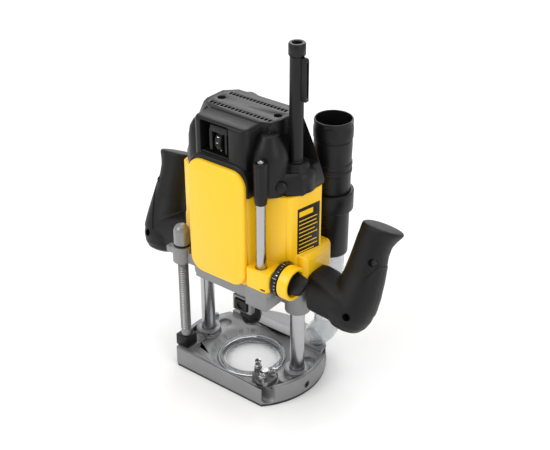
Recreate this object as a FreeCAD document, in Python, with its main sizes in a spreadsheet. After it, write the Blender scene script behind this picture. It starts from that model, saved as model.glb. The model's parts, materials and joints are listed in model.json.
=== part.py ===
"""Two-column plunge router with a motor carriage, dust tube and depth stop.

Frame: +Z up, +X along the two handles, -Y towards the flat edge of the base.
The origin is the centre of the sole's opening, on the sole's underside.
All lengths are in millimetres.
"""

import FreeCAD
import Part
import Sketcher

import math
import os
import re

Vector = FreeCAD.Vector
Rotation = FreeCAD.Rotation

# ---------------------------------------------------------------- dimensions
# Each line is one cell of the sheet: alias, value.
DIMENSIONS = {
    # base
    "base_r": 86.0,
    "base_flat_y": 60.2,
    "sole_t": 3.0,
    "sole_r": 85.2,
    "deck_top": 12.7,
    "wall_top": 24.0,
    "wall_t": 5.0,
    "left_wall_top": 17.0,
    "opening_r": 34.0,
    "casting_opening_r": 37.0,
    "dish_floor_z": 7.0,
    "dish_floor_r": 40.5,
    "dish_rim_r": 55.0,
    "boss_r": 14.5,
    "boss_top": 20.7,
    "fence_y": 53.0,
    "fence_z": 10.0,
    "fence_r": 6.15,
    "fence_block_top": 18.0,
    "grub_r": 4.0,
    "shroud_r": 36.7,
    "shroud_lip_r": 29.5,
    # columns
    "column_x": 65.0,
    "column_r": 8.0,
    "column_bore_r": 5.4,
    "column_foot": 6.0,
    "column_top": 162.0,
    "lock_screw_r": 4.0,
    "lock_rise": 13.0,
    # turret stop
    "turret_x": 47.6,
    "turret_y": -36.3,
    "turret_r": 15.0,
    "turret_foot": 17.0,
    "turret_top": 24.0,
    "turret_pitch_r": 10.0,
    "pivot_r": 2.55,
    "pivot_depth": 5.0,
    # height screw
    "screw_x": -66.0,
    "screw_y": -38.0,
    "screw_r": 6.0,
    "screw_foot": 17.0,
    "screw_top": 150.3,
    "lug_foot": 130.0,
    "lug_top": 150.0,
    "lug_r": 11.0,
    "height_knob_r": 9.0,
    "height_knob_top": 176.0,
    # carriage casting
    "carriage_foot": 99.0,
    "casting_top": 143.0,
    "plate_foot": 127.0,
    "carriage_boss_r": 14.0,
    "nose_r": 20.5,
    "tunnel_r": 9.2,
    "bush_r": 10.5,
    "bush_bore_r": 8.05,
    "bush_h": 24.0,
    # motor housing
    "housing_top": 247.0,
    "motor_bore_r": 43.0,
    "front_half": 37.3,
    "front_y": -56.5,
    "front_foot": 141.0,
    "front_top": 275.0,
    "front_corner_r": 17.0,
    "front_t": 5.0,
    "side_front_x": 72.0,
    "side_front_y": -24.0,
    "side_rear_x": 80.0,
    "side_rear_y": 19.5,
    "rear_x": 48.0,
    "rear_y": 40.0,
    "shoulder_x": 86.0,
    # cap
    "cap_top": 320.0,
    "cap_front_y": -48.4,
    "cap_front_half": 34.5,
    # cord guard
    "guard_x": 58.5,
    "guard_y": 3.0,
    "guard_r": 7.3,
    "guard_bore_r": 4.6,
    "guard_foot": 256.0,
    "guard_top": 402.0,
    # dust extraction
    "dust_x": 64.0,
    "dust_y": 60.0,
    "dust_top_r": 21.2,
    "dust_foot_r": 18.9,
    "dust_bore_r": 16.5,
    "dust_port_r": 19.0,
    "dust_port_z": 268.0,
    "dust_foot": 146.0,
    "dust_top": 304.0,
    "dust_inner_r": 16.0,
    "dust_wall": 1.6,
    "dust_inner_foot": 62.0,
    "dust_inner_top": 163.0,
    # depth stop
    "rod_x": 51.5,
    "rod_y": -45.5,
    "rod_r": 5.5,
    "rod_foot": 140.0,
    "rod_top": 252.0,
    "rod_clear_r": 5.9,
    "pinion_y": -34.5,
    "pinion_z": 157.0,
    "pinion_pitch_r": 6.5,
    "pinion_shaft_r": 4.0,
    "depth_boss_top": 170.0,
    "depth_block_foot": 124.0,
    "ring_r": 18.8,
    "drum_r": 18.3,
    "fine_foot": 244.0,
    "fine_top": 290.0,
    "fine_r": 7.2,
    # handles
    "grip_foot_x": 131.0,
    "grip_foot_y": 5.0,
    "grip_foot_z": 124.0,
    "grip_top_x": 138.5,
    "grip_top_y": 43.0,
    "grip_top_z": 208.0,
    "grip_foot_r": 23.5,
    "grip_waist_r": 19.5,
    "grip_rim_r": 22.0,
    "handle_wall": 3.0,
    "handle_screw_r": 2.2,
    "lock_on_r": 4.5,
    "arm_start_x": 86.0,
    "arm_y": 5.0,
    "arm_z": 133.0,
    "arm_half_w": 20.0,
    "arm_half_h": 25.0,
    # spindle and motor
    "collet_bore_r": 6.35,
    "collet_r": 8.2,
    "nose_bore_r": 8.25,
    "spindle_nose_r": 9.6,
    "nut_r": 11.8,
    "nut_foot": 58.0,
    "nut_top": 77.0,
    "shaft_r": 6.0,
    "core_r": 25.0,
    "core_foot": 182.0,
    "core_top": 236.0,
    "stator_bore_r": 26.0,
    "stator_r": 42.8,
    "bearing_r": 17.5,
    "bearing_foot": 108.0,
    "bearing_h": 14.0,
    "top_bearing_r": 11.0,
    "top_bearing_foot": 284.0,
    "top_bearing_h": 9.0,
    "commutator_r": 15.0,
    "commutator_foot": 250.0,
    "commutator_h": 20.0,
    "fan_foot": 158.0,
    "fan_r": 38.0,
}

doc = FreeCAD.newDocument("PlungeRouter")
sheet = doc.addObject("Spreadsheet::Sheet", "Dims")
for row_number, (alias, value) in enumerate(DIMENSIONS.items(), start=1):
    sheet.set("A%d" % row_number, alias)
    sheet.set("B%d" % row_number, str(value))
    sheet.setAlias("B%d" % row_number, alias)
doc.recompute()

NODES = {}

ALONG = {
    "z": Rotation(),
    "x": Rotation(Vector(0, 1, 0), 90),
    "y": Rotation(Vector(1, 0, 0), -90),
    "down": Rotation(Vector(1, 0, 0), 180),
    "back": Rotation(Vector(1, 0, 0), 90),
}


# ------------------------------------------------------------------- helpers
def size(alias):
    """Return one driving dimension as a number."""
    return float(getattr(sheet, alias))


def formula(text):
    """Turn aliases in an expression into references to the sheet."""
    def reference(match):
        word = match.group(0)
        return "Dims." + word if word in DIMENSIONS else word
    return re.sub(r"[a-z][a-z_]*", reference, str(text))


def bind(obj, prop, value):
    """Bind one property to an expression, or set it when it is a number."""
    if isinstance(value, str):
        obj.setExpression(prop, formula(value))
    else:
        obj.setExpression(prop, str(float(value)))


def place(obj, at, turn):
    """Put an object at a place whose coordinates may be expressions."""
    obj.Placement = FreeCAD.Placement(Vector(0, 0, 0), turn)
    for letter, value in zip("xyz", at):
        if value != 0:
            bind(obj, "Placement.Base." + letter, value)


def make(kind, name, at, turn, sizes):
    """Make one Part primitive with bound sizes."""
    obj = doc.addObject(kind, name)
    place(obj, at, turn)
    for prop, value in sizes.items():
        bind(obj, prop, value)
    return obj


def cylinder(name, radius, height, at=(0, 0, 0), along="z", turn=None):
    """Solid cylinder from a point along an axis."""
    turn = turn or ALONG[along]
    return make("Part::Cylinder", name, at, turn, {"Radius": radius, "Height": height})


def sector(name, radius, height, at, start, sweep):
    """A pie slice of a cylinder, from the angle start round by sweep degrees."""
    obj = cylinder(name, radius, height, at, turn=Rotation(Vector(0, 0, 1), start))
    obj.Angle = sweep
    return obj


def cone(name, radius_a, radius_b, height, at=(0, 0, 0), along="z"):
    """Cone from radius_a at the foot to radius_b."""
    sizes = {"Radius1": radius_a, "Radius2": radius_b, "Height": height}
    return make("Part::Cone", name, at, ALONG[along], sizes)


def box(name, length, width, height, at, turn=None):
    """Box from its lowest corner."""
    sizes = {"Length": length, "Width": width, "Height": height}
    return make("Part::Box", name, at, turn or Rotation(), sizes)


def sphere(name, radius, at):
    """Ball about a point."""
    return make("Part::Sphere", name, at, Rotation(), {"Radius": radius})


def fuse(name, shapes):
    """Join shapes into one solid."""
    obj = doc.addObject("Part::MultiFuse", name)
    obj.Shapes = shapes
    return obj


def common(name, shapes):
    """Keep what the shapes share."""
    obj = doc.addObject("Part::MultiCommon", name)
    obj.Shapes = shapes
    return obj


def cut(name, base, tools):
    """Take one or more tools from a base."""
    obj = doc.addObject("Part::Cut", name)
    obj.Base = base
    obj.Tool = tools[0] if len(tools) == 1 else fuse(name + "_tools", tools)
    return obj


def group(name, shapes):
    """Hold like pieces together as separate solids."""
    obj = doc.addObject("Part::Compound", name)
    obj.Links = shapes
    return obj


def prism(name, points, height, at=(0, 0, 0), along="z"):
    """Extrude a closed outline of (x, y) points."""
    outline = doc.addObject("Part::Polygon", name + "_outline")
    outline.Nodes = [Vector(x, y, 0) for x, y in points]
    outline.Close = True
    solid = doc.addObject("Part::Extrusion", name)
    solid.Base = outline
    solid.DirMode = "Custom"
    solid.Dir = Vector(0, 0, 1)
    solid.Solid = True
    bind(solid, "LengthFwd", height)
    place(solid, at, ALONG[along])
    return solid


def tube(name, radius, bore, height, at=(0, 0, 0), along="z"):
    """Straight round tube."""
    outer = cylinder(name + "_outer", radius, height, at, along)
    inner = cylinder(name + "_bore", bore, height, at, along)
    return cut(name, outer, [inner])


def stack(name, steps, at=(0, 0, 0), direction="z"):
    """Turned piece: (radius, height) steps, one on top of the next."""
    pieces = []
    travelled = 0.0
    for number, (radius, height) in enumerate(steps):
        offset = {"z": (0, 0, travelled), "x": (travelled, 0, 0), "y": (0, travelled, 0)}[direction]
        start = tuple("(%s) + %s" % (a, b) for a, b in zip(at, offset))
        pieces.append(cylinder("%s_%d" % (name, number), radius, height, start, direction))
        travelled += height
    return fuse(name, pieces)


def soften(name, base, radius, wanted):
    """Round the edges of a recomputed object for which wanted(edge) is true."""
    doc.recompute()
    edges = [n for n, edge in enumerate(base.Shape.Edges, start=1) if wanted(edge)]
    obj = doc.addObject("Part::Fillet", name)
    obj.Base = base
    obj.Edges = [(n, radius, radius) for n in edges]
    return obj


def is_vertical(edge):
    """True for a straight edge along Z."""
    first, last = edge.Vertexes[0].Point, edge.Vertexes[-1].Point
    return abs(first.x - last.x) < 0.01 and abs(first.y - last.y) < 0.01 and edge.Length > 5


def loft(name, sections):
    """Closed loft through (place, turn, half width, half depth) ellipses."""
    rings = []
    for number, (at, turn, half_x, half_y) in enumerate(sections):
        ring = doc.addObject("Part::Ellipse", "%s_ring_%d" % (name, number))
        wide = half_x >= half_y
        spin = Rotation() if wide else Rotation(Vector(0, 0, 1), 90)
        ring.Placement = FreeCAD.Placement(at, turn.multiply(spin))
        ring.MajorRadius = max(half_x, half_y)
        ring.MinorRadius = min(half_x, half_y)
        rings.append(ring)
    obj = doc.addObject("Part::Loft", name)
    obj.Sections = rings
    obj.Solid = True
    return obj


def mirrored(name, source):
    """The same piece on the other side of the YZ plane."""
    obj = doc.addObject("Part::Mirroring", name)
    obj.Source = source
    obj.Normal = Vector(1, 0, 0)
    return obj


def node(name, obj):
    """Name a finished sub-part."""
    obj.Label = name
    NODES[name] = obj
    return obj


# ---------------------------------------------------------------------- base
def sole_pad():
    """Phenolic sole before its screw holes, padded from a D-shaped sketch."""
    body = doc.addObject("PartDesign::Body", "SoleBody")
    sketch = body.newObject("Sketcher::SketchObject", "SoleSketch")
    plane = next(f for f in body.Origin.OriginFeatures if f.Role == "XY_Plane")
    sketch.AttachmentSupport = [(plane, "")]
    sketch.MapMode = "FlatFace"
    radius = size("sole_r")
    flat = -size("base_flat_y") + 0.8
    half = math.sqrt(radius ** 2 - flat ** 2)
    start = math.atan2(flat, half)
    circle = Part.Circle(Vector(0, 0, 0), Vector(0, 0, 1), radius)
    rim = sketch.addGeometry(Part.ArcOfCircle(circle, start, math.pi - start), False)
    edge = sketch.addGeometry(Part.LineSegment(Vector(-half, flat, 0), Vector(half, flat, 0)), False)
    hole_circle = Part.Circle(Vector(0, 0, 0), Vector(0, 0, 1), size("opening_r"))
    hole = sketch.addGeometry(hole_circle, False)
    sketch.addConstraint(Sketcher.Constraint("Coincident", rim, 3, -1, 1))
    sketch.addConstraint(Sketcher.Constraint("Coincident", hole, 3, -1, 1))
    sketch.addConstraint(Sketcher.Constraint("Coincident", rim, 2, edge, 1))
    sketch.addConstraint(Sketcher.Constraint("Coincident", rim, 1, edge, 2))
    sketch.addConstraint(Sketcher.Constraint("Horizontal", edge))
    rim_size = sketch.addConstraint(Sketcher.Constraint("Radius", rim, radius))
    hole_size = sketch.addConstraint(Sketcher.Constraint("Radius", hole, size("opening_r")))
    flat_size = sketch.addConstraint(Sketcher.Constraint("DistanceY", edge, 1, -1, 1, -flat))
    sketch.setExpression("Constraints[%d]" % rim_size, "Dims.sole_r")
    sketch.setExpression("Constraints[%d]" % hole_size, "Dims.opening_r")
    sketch.setExpression("Constraints[%d]" % flat_size, "Dims.base_flat_y - 0.8")
    pad = body.newObject("PartDesign::Pad", "SolePad")
    pad.Profile = sketch
    pad.setExpression("Length", "Dims.sole_t")
    doc.recompute()
    body.Tip = pad
    return body


def sole_plate():
    """Phenolic sole with the round opening and countersunk holes."""
    return cut("Sole", sole_pad(), sole_screw_shapes("SoleHole"))


def d_block(name, top):
    """D-shaped block from the top of the sole to a height."""
    disc = cylinder(name + "_disc", "base_r", "%s - sole_t" % top, (0, 0, "sole_t"))
    cutter = box(name + "_window", "2 * base_r", "base_r + base_flat_y", top,
                 ("-base_r", "-base_flat_y", 0))
    return common(name, [disc, cutter])


def wall_arc(name, top, start, sweep):
    """Stretch of the round wall along the rim."""
    outer = sector(name + "_outer", "base_r", "%s - sole_t" % top, (0, 0, "sole_t"), start, sweep)
    inner = cylinder(name + "_inner", "base_r - wall_t", top, (0, 0, 0))
    return cut(name, outer, [inner])


def base_casting():
    """Die-cast base with its walls, column bosses and fence rod bores."""
    deck = d_block("Deck", "deck_top")
    front_wall = box("FrontWall", "2 * base_r", "wall_t", "wall_top - sole_t",
                     ("-base_r", "-base_flat_y", "sole_t"))
    front_block = box("FrontBlock", "2 * base_r", 16, "left_wall_top - sole_t",
                      ("-base_r", "-base_flat_y", "sole_t"))
    rear_block = box("RearBlock", 132, 17, "fence_block_top - sole_t", (-66, "fence_y - 8.5", "sole_t"))
    right_wall = wall_arc("RightWall", "wall_top", -44.5, 66)
    left_wall = wall_arc("LeftWall", "left_wall_top", 158, 68)
    pieces = [deck, front_wall, front_block, rear_block, right_wall, left_wall]
    for side, sign in (("Right", ""), ("Left", "-")):
        pieces.append(cylinder("BaseBoss" + side, "boss_r", "boss_top - sole_t",
                               (sign + "column_x", 0, "sole_t")))
        pieces.append(box("BossWeb" + side, 14, 12, 12, (sign + "column_x - 7", -26, "sole_t")))
    pieces.append(cylinder("TurretPad", "turret_r + 1", "turret_foot - sole_t",
                           ("turret_x", "turret_y", "sole_t")))
    pieces.append(box("ScrewPad", 22, 22, "screw_foot - sole_t", ("screw_x - 11", "screw_y - 11", "sole_t")))
    whole = common("BaseOutline", [fuse("BaseSolids", pieces), d_block("BaseLimit", "wall_top")])

    tools = [
        cylinder("CastingOpening", "casting_opening_r", 40, (0, 0, 0)),
        cone("Dish", "dish_floor_r", "dish_rim_r", "left_wall_top - dish_floor_z + 0.01",
             (0, 0, "dish_floor_z")),
        cylinder("FenceBoreFront", "fence_r", 200, (-100, "-fence_y", "fence_z"), "x"),
        cylinder("FenceBoreRear", "fence_r", 200, (-100, "fence_y", "fence_z"), "x"),
        box("FrontNotch", 30, "2 * fence_r", 30, (52, "-fence_y - fence_r", "fence_z")),
        cylinder("GrubHoleRight", "grub_r", 14, (78, -8, 10.5), "x"),
        cylinder("GrubHoleLeft", "grub_r", 14, (-92, -8, 10.5), "x"),
        cylinder("RightPocket", 7.5, 20, (62, 26, 9)),
        cylinder("LeftPocket", 7.5, 20, (-62, 26, 9)),
    ]
    for side, sign in (("Right", ""), ("Left", "-")):
        tools.append(cylinder("ColumnSeat" + side, "column_r", 40, (sign + "column_x", 0, "column_foot")))
    crescent = common("Crescent", [
        cylinder("CrescentDisc", 62, 30, (-12, 5, 8)),
        box("CrescentBand", 66, 5.2, 30, (-46, "-base_flat_y + wall_t", "fence_z")),
    ])
    tools.append(crescent)
    tools.append(cylinder("PivotHole", "pivot_r", 6, ("turret_x", "turret_y", "turret_foot - pivot_depth")))
    tools += sole_screw_shapes("SoleScrewHole")
    return cut("BaseCasting", whole, tools)


def sole_screw_places():
    """Four screws hold the sole to the casting."""
    return [(44, 62), (-44, 62), (72, -28), (-72, -12)]


def sole_screw_shapes(name):
    """Countersunk screws, heads down in the sole."""
    shapes = []
    for number, (x, y) in enumerate(sole_screw_places()):
        head = cone("%s_head_%d" % (name, number), 4.2, 2.0, 2.2, (x, y, 0.2))
        shank = cylinder("%s_shank_%d" % (name, number), 2.0, 8.4, (x, y, 0.2))
        shapes.append(fuse("%s_%d" % (name, number), [head, shank]))
    return shapes


def clear_shroud():
    """Clear ring that lines the opening and guides the chips to the hood."""
    sleeve = tube("ShroudSleeve", "shroud_r", "opening_r", 7, (0, 0, "sole_t"))
    flange = tube("ShroudFlange", "dish_floor_r - 1.2", "opening_r", 1.6, (0, 0, "dish_floor_z"))
    lip = tube("ShroudLip", "opening_r + 1", "shroud_lip_r", 1.8, (0, 0, "sole_t"))
    return fuse("Shroud", [sleeve, flange, lip])


def columns():
    """Two hollow columns, clamped in the base."""
    for side, sign in (("right", ""), ("left", "-")):
        outer = cylinder("Column_" + side, "column_r", "column_top - column_foot",
                         (sign + "column_x", 0, "column_foot"))
        bore = cylinder("ColumnBore_" + side, "column_bore_r", "column_top - column_foot",
                        (sign + "column_x", 0, "column_foot + 6"))
        node("column_" + side, cut("ColumnTube_" + side, outer, [bore]))


def return_springs():
    """Coil springs in the columns, which press on the top of the carriage."""
    coils = []
    foot = size("column_foot") + 6
    top = size("housing_top") - 3.4
    wire_r = 0.7
    coil_r = 4.4
    turns = 28
    pitch = (top - foot - 2 * wire_r) / turns
    helix = Part.makeHelix(pitch, pitch * turns, coil_r)
    wire = Part.Wire(helix.Edges)
    profile = Part.Wire([Part.makeCircle(wire_r, Vector(coil_r, 0, 0), Vector(0, 1, 0))])
    solid = wire.makePipeShell([profile], True, True)
    for sign in (1, -1):
        copy = solid.copy()
        copy.translate(Vector(sign * size("column_x"), 0, foot + wire_r))
        coils.append(copy)
    obj = doc.addObject("Part::Feature", "Springs")
    obj.Shape = Part.makeCompound(coils)
    return obj


def clamp_grubs():
    """Socket grub screws that clamp the columns in the base."""
    screws = []
    for name, x, along in (("Right", 78.5, "x"), ("Left", -85.0, "x")):
        body = cylinder("Grub" + name, "grub_r", 6.5, (x, -8, 10.5), along)
        socket_x = x + 3.5 if x > 0 else x
        socket = cylinder("GrubSocket" + name, 1.8, 3, (socket_x, -8, 10.5), along)
        screws.append(cut("GrubScrew" + name, body, [socket]))
    return group("GrubScrews", screws)


def hood_sections(margin):
    """Rings of the clear hood, from the tube down and in to the opening."""
    x, y = size("dust_x"), size("dust_y")
    outer = size("dust_inner_r") - margin
    towards_centre = Vector(-x, -y, 0).normalize()
    bend = Rotation(Vector(0, 0, 1), towards_centre * 0.75 + Vector(0, 0, -1))
    mouth = Rotation(Vector(0, 0, 1), towards_centre + Vector(0, 0, -0.45))
    down = Rotation(Vector(1, 0, 0), 180)
    return [
        (Vector(x, y, size("dust_inner_foot")), down, outer, outer),
        (Vector(x, y, 54), down, outer, outer),
        (Vector(x - 4, y - 4, 40), bend, outer - 1, outer - 1),
        (Vector(x - 15, y - 14, 30.5), mouth, outer - 1, outer - 5.5),
    ]


def dust_hood():
    """Clear elbow that stands on the base behind the right column."""
    outer = loft("HoodOuter", hood_sections(0.0))
    inner = loft("HoodInner", hood_sections(size("dust_wall")))
    foot_at = ("dust_x - 8", "dust_y - 7", "fence_block_top")
    foot = cylinder("HoodFootPost", 5, "34 - fence_block_top", foot_at)
    return cut("Hood", fuse("HoodSolid", [outer, foot]), [inner])


def dust_inner_tube():
    """Clear tube on the hood, up into the carriage's black tube."""
    height = "dust_inner_top - dust_inner_foot - 0.2"
    at = ("dust_x", "dust_y", "dust_inner_foot + 0.2")
    return tube("InnerTube", "dust_inner_r", "dust_inner_r - dust_wall", height, at)


def screw_foot_block():
    """Block on the base that holds the foot of the height screw."""
    body = box("FootBlock", 17, 17, 14, ("screw_x - 8.5", "screw_y - 8.5", "screw_foot"))
    seat = cylinder("FootSeat", "screw_r + 0.05", 14, ("screw_x", "screw_y", "screw_foot + 4"))
    return cut("ScrewFoot", body, [seat])


# -------------------------------------------------------------- height screw
def height_screw():
    """Threaded rod; the shallow grooves stand for its thread."""
    rod = cylinder("ScrewRod", "screw_r", "screw_top - screw_foot - 4.3",
                   ("screw_x", "screw_y", "screw_foot + 4.3"))
    grooves = []
    pitch = 3.0
    first = size("screw_foot") + 20
    count = int((size("lug_foot") - 4 - first) / pitch)
    for number in range(count):
        at = ("screw_x", "screw_y", first + number * pitch)
        grooves.append(tube("Groove_%d" % number, "screw_r + 1", "screw_r - 0.8", 1.2, at))
    return cut("HeightScrew", rod, grooves)


def height_knob():
    """Domed knob that turns the height screw, above the carriage's lug."""
    at = ("screw_x", "screw_y", "screw_top")
    stem = cylinder("KnobStem", "height_knob_r", 17, at)
    dome = sphere("KnobDome", "height_knob_r", ("screw_x", "screw_y", "height_knob_top - height_knob_r"))
    upper = box("KnobDomeLimit", 30, 30, 30, ("screw_x - 15", "screw_y - 15", "screw_top"))
    return common("HeightKnob", [fuse("KnobSolid", [stem, dome]), upper])


# -------------------------------------------------------------- depth turret
# How far each post of the turret stands above its disc.
POST_LIFTS = (4, 1, 6)


def turret_angles():
    """Directions of the three posts about the turret's centre."""
    return (-67.0, 53.0, 173.0)


def turret_places():
    """Places of the three posts."""
    reach = size("turret_pitch_r")
    for angle in turret_angles():
        turn = math.radians(angle)
        yield size("turret_x") + reach * math.cos(turn), size("turret_y") + reach * math.sin(turn)


def turret_hub():
    """Three-post turret that clicks round under the depth rod."""
    hub = cylinder("HubDisc", "turret_r", "turret_top - turret_foot",
                   ("turret_x", "turret_y", "turret_foot + 0.3"))
    crown = cylinder("HubCrown", 6.0, 3.5, ("turret_x", "turret_y", "turret_top"))
    posts = [cylinder("HubPost_%d" % n, 3.6, lift, (x, y, "turret_top"))
             for n, ((x, y), lift) in enumerate(zip(turret_places(), POST_LIFTS))]
    holes = [cylinder("HubHole_%d" % n, 2.0, 20, (x, y, "turret_foot + 2"))
             for n, (x, y) in enumerate(turret_places())]
    pivot = cylinder("HubPivot", "pivot_r + 0.05", 20, ("turret_x", "turret_y", "turret_foot"))
    return cut("Turret", fuse("TurretSolid", [hub, crown] + posts), holes + [pivot])


def turret_screws():
    """Adjustable stop screws, each set to its own height."""
    screws = []
    for number, ((x, y), top) in enumerate(zip(turret_places(), (35.0, 29.5, 38.6))):
        shank = cylinder("StopShank_%d" % number, 2.0, top - 21.5, (x, y, 19.5))
        head = cylinder("StopHead_%d" % number, 3.4, 2.4, (x, y, top - 2.4))
        screws.append(fuse("StopScrew_%d" % number, [shank, head]))
    return group("StopScrews", screws)


def turret_nuts():
    """Lock nuts of the stop screws."""
    nuts = []
    for number, ((x, y), lift) in enumerate(zip(turret_places(), POST_LIFTS)):
        at = (x, y, "turret_top + %s" % lift)
        nut = doc.addObject("Part::Prism", "NutHex_%d" % number)
        nut.Polygon = 6
        nut.Circumradius = 3.6
        nut.Height = 2.0
        place(nut, at, Rotation())
        nuts.append(cut("StopNut_%d" % number, nut, [cylinder("NutBore_%d" % number, 2.0, 4, at)]))
    return group("StopNuts", nuts)


def turret_pivot():
    """Shouldered screw that the turret turns on."""
    shank = cylinder("PivotShank", "pivot_r", "turret_top + 3.9 - turret_foot + pivot_depth",
                     ("turret_x", "turret_y", "turret_foot - pivot_depth"))
    head = cylinder("PivotHead", 4.4, 2.2, ("turret_x", "turret_y", "turret_top + 3.8"))
    return fuse("TurretPivot", [shank, head])


# ---------------------------------------------------------- carriage casting
def carriage_casting():
    """Aluminium lower half of the carriage."""
    plate = prism("CarriagePlate", housing_outline(-1.5), "casting_top - plate_foot", (0, 0, "plate_foot"))
    pieces = [plate]
    for side, sign in (("Right", ""), ("Left", "-")):
        pieces.append(cylinder("CarriageBoss" + side, "carriage_boss_r", "casting_top - carriage_foot",
                               (sign + "column_x", 0, "carriage_foot")))
        pieces.append(box("CarriageWeb" + side, 44, 8, "plate_foot - carriage_foot - 3",
                          (("10" if side == "Right" else "-54"), -4, "carriage_foot + 3")))
    pieces.append(cylinder("Nose", "nose_r", "plate_foot - carriage_foot", (0, 0, "carriage_foot + 1")))
    pieces.append(box("DepthBlock", 28, 26, "casting_top - depth_block_foot",
                      ("rod_x - 14", "rod_y - 10", "depth_block_foot")))
    pieces.append(cylinder("ScrewLug", "lug_r", "lug_top - lug_foot", ("screw_x", "screw_y", "lug_foot")))
    pieces.append(box("LugWeb", 22, 22, 13, ("screw_x", "screw_y - 2", "lug_foot")))
    tools = [
        cylinder("SpindleWell", "bearing_r - 4", 60, (0, 0, "carriage_foot")),
        cylinder("BearingSeat", "bearing_r", "bearing_h", (0, 0, "bearing_foot")),
        cylinder("FanWell", "motor_bore_r - 3", 30, (0, 0, "plate_foot + 8")),
        cylinder("BearingWay", "bearing_r", 30, (0, 0, "bearing_foot")),
        cylinder("RodWay", "rod_clear_r", 80, ("rod_x", "rod_y", "depth_block_foot - 1")),
        cylinder("ScrewWay", "screw_r + 0.5", 60, ("screw_x", "screw_y", "lug_foot - 10")),
        box("ReleaseSlot", 16, 9, 8, ("screw_x - 16", "screw_y - 4.5", "lug_foot + 6")),
    ]
    for side, sign in (("Right", ""), ("Left", "-")):
        tools.append(cylinder("CarriageTunnel" + side, "bush_r", 80, (sign + "column_x", 0, "carriage_foot")))
    tools.append(ring_room("CastingRingRoom"))
    tools.append(lock_screw_way("CastingScrewWay"))
    return cut("CarriageCasting", fuse("CarriageSolid", pieces), tools)


def lock_screw_way(name):
    """Hole for the clamp screw of the plunge lock, in from behind the left column."""
    return cylinder(name, "lock_screw_r + 0.05", 30, ("-column_x", 4, "carriage_foot + lock_rise"), "y")


def housing_outline(grow):
    """Plan of the motor housing, symmetrical in X, moved out by grow."""
    right = [
        (size("front_half") - 1, size("front_y") + size("front_t") - grow),
        (size("front_half") + 2 + grow, -45 - grow),
        (size("front_half") + 6 + grow, -37 - grow),
        (size("side_front_x") - 5 + grow, -25 - grow),
        (size("side_front_x") + grow, size("side_front_y")),
        (size("side_rear_x") + grow, size("side_rear_y")),
        (size("side_rear_x") - 8 + grow, size("side_rear_y") + 9),
        (size("rear_x") + grow, size("rear_y")),
        (size("rear_x") - 14, size("rear_y") + 8 + grow),
    ]
    left = [(-x, y) for x, y in reversed(right)]
    return right + left


def column_bushes():
    """Lower and upper plain bushes that run on the columns."""
    bushes = []
    for side, sign in (("Right", ""), ("Left", "-")):
        for level, foot in (("Low", "carriage_foot"), ("High", "casting_top - bush_h + 18")):
            at = (sign + "column_x", 0, foot)
            height = 20 if level == "Low" else "bush_h"
            bushes.append(tube("Bush%s%s" % (side, level), "bush_r", "bush_bore_r", height, at))
    lock_way = lock_screw_way("BushScrewWay")
    bushes = [cut("BushPierced", bush, [lock_way]) if bush.Name == "BushLeftLow" else bush for bush in bushes]
    return group("Bushes", bushes)


def spindle_lock_housing():
    """Block under the carriage that carries the spindle lock button."""
    body = box("LockBlock", 25, 7.5, 19, (-8.5, -21.5, "carriage_foot - 18"))
    way = box("LockWay", 17.4, 18, 13.4, (-4.7, -30, "carriage_foot - 15.2"))
    return cut("LockHousing", body, [way])


def spindle_lock_button():
    """Square black button with a round dish, which slides in to hold the spindle."""
    body = box("LockButton", 16.8, 10.1, 12.8, (-4.4, -24, "carriage_foot - 14.9"))
    dish = cylinder("LockDish", 4.6, 1.4, (4, -24.1, "carriage_foot - 8.5"), "y")
    return cut("LockButtonCut", body, [dish])


# -------------------------------------------------------------- motor housing
def ring_room(name):
    """Clearance for the scale ring and the drum of the depth stop."""
    return cylinder(name, "ring_r + 0.7", 30, ("rod_x + 16.6", "pinion_y", "pinion_z"), "x")


def is_outermost(edge):
    """True for an edge on either of the two outer faces that carry the handles."""
    return edge.Length > 5 and all(abs(abs(v.Point.x) - size("shoulder_x")) < 0.1 for v in edge.Vertexes)


def motor_housing():
    """Yellow body of the carriage with its two side boxes and shoulders."""
    trunk = prism("HousingTrunk", housing_outline(0.0), "housing_top - casting_top", (0, 0, "casting_top"))
    trunk = soften("HousingSoft", trunk, 6.0, is_vertical)
    pieces = [trunk]
    for name, corner in (("ShoulderRight", "column_x - 8"), ("ShoulderLeft", "-shoulder_x")):
        block = box(name, "shoulder_x - column_x + 8", 49, 34, (corner, -14, "casting_top"))
        pieces.append(soften(name + "Soft", block, 9.0, is_outermost))
    pieces.append(soften("DepthBossSoft", box("DepthBoss", 30, 27.5, "depth_boss_top - casting_top",
                                              ("rod_x - 14", "rod_y - 10.5", "casting_top")),
                         5.0, is_vertical))
    tools = [
        cylinder("MotorBore", "motor_bore_r", 200, (0, 0, "casting_top - 1")),
        cylinder("RodBore", "rod_clear_r", 60, ("rod_x", "rod_y", "casting_top - 1")),
        cylinder("PinionWell", "pinion_pitch_r + 1.6", 13, ("rod_x - 6.5", "pinion_y", "pinion_z"), "x"),
        cylinder("PinionBore", "pinion_shaft_r + 0.05", 60, ("rod_x - 12", "pinion_y", "pinion_z"), "x"),
        box("RodRelief", 14, 16, 90, ("rod_x - 7", -54, "depth_boss_top")),
    ]
    tools.append(ring_room("HousingRingRoom"))
    shaped = cut("HousingShaped", fuse("HousingSolid", pieces), tools)
    tunnels = []
    for side, sign in (("Right", ""), ("Left", "-")):
        seat_at = (sign + "column_x", 0, "casting_top - 0.1")
        tunnels.append(cylinder("UpperBushSeat" + side, "bush_r", 18.2, seat_at))
        tunnels.append(cylinder("Tunnel" + side, "tunnel_r", "housing_top - casting_top - 3",
                                (sign + "column_x", 0, "casting_top")))
    tunnels.append(box("ScrewRoom", 30, 30, 40, ("screw_x - 16", "screw_y - 16", "casting_top - 1")))
    return cut("Housing", shaped, tunnels)


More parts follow.
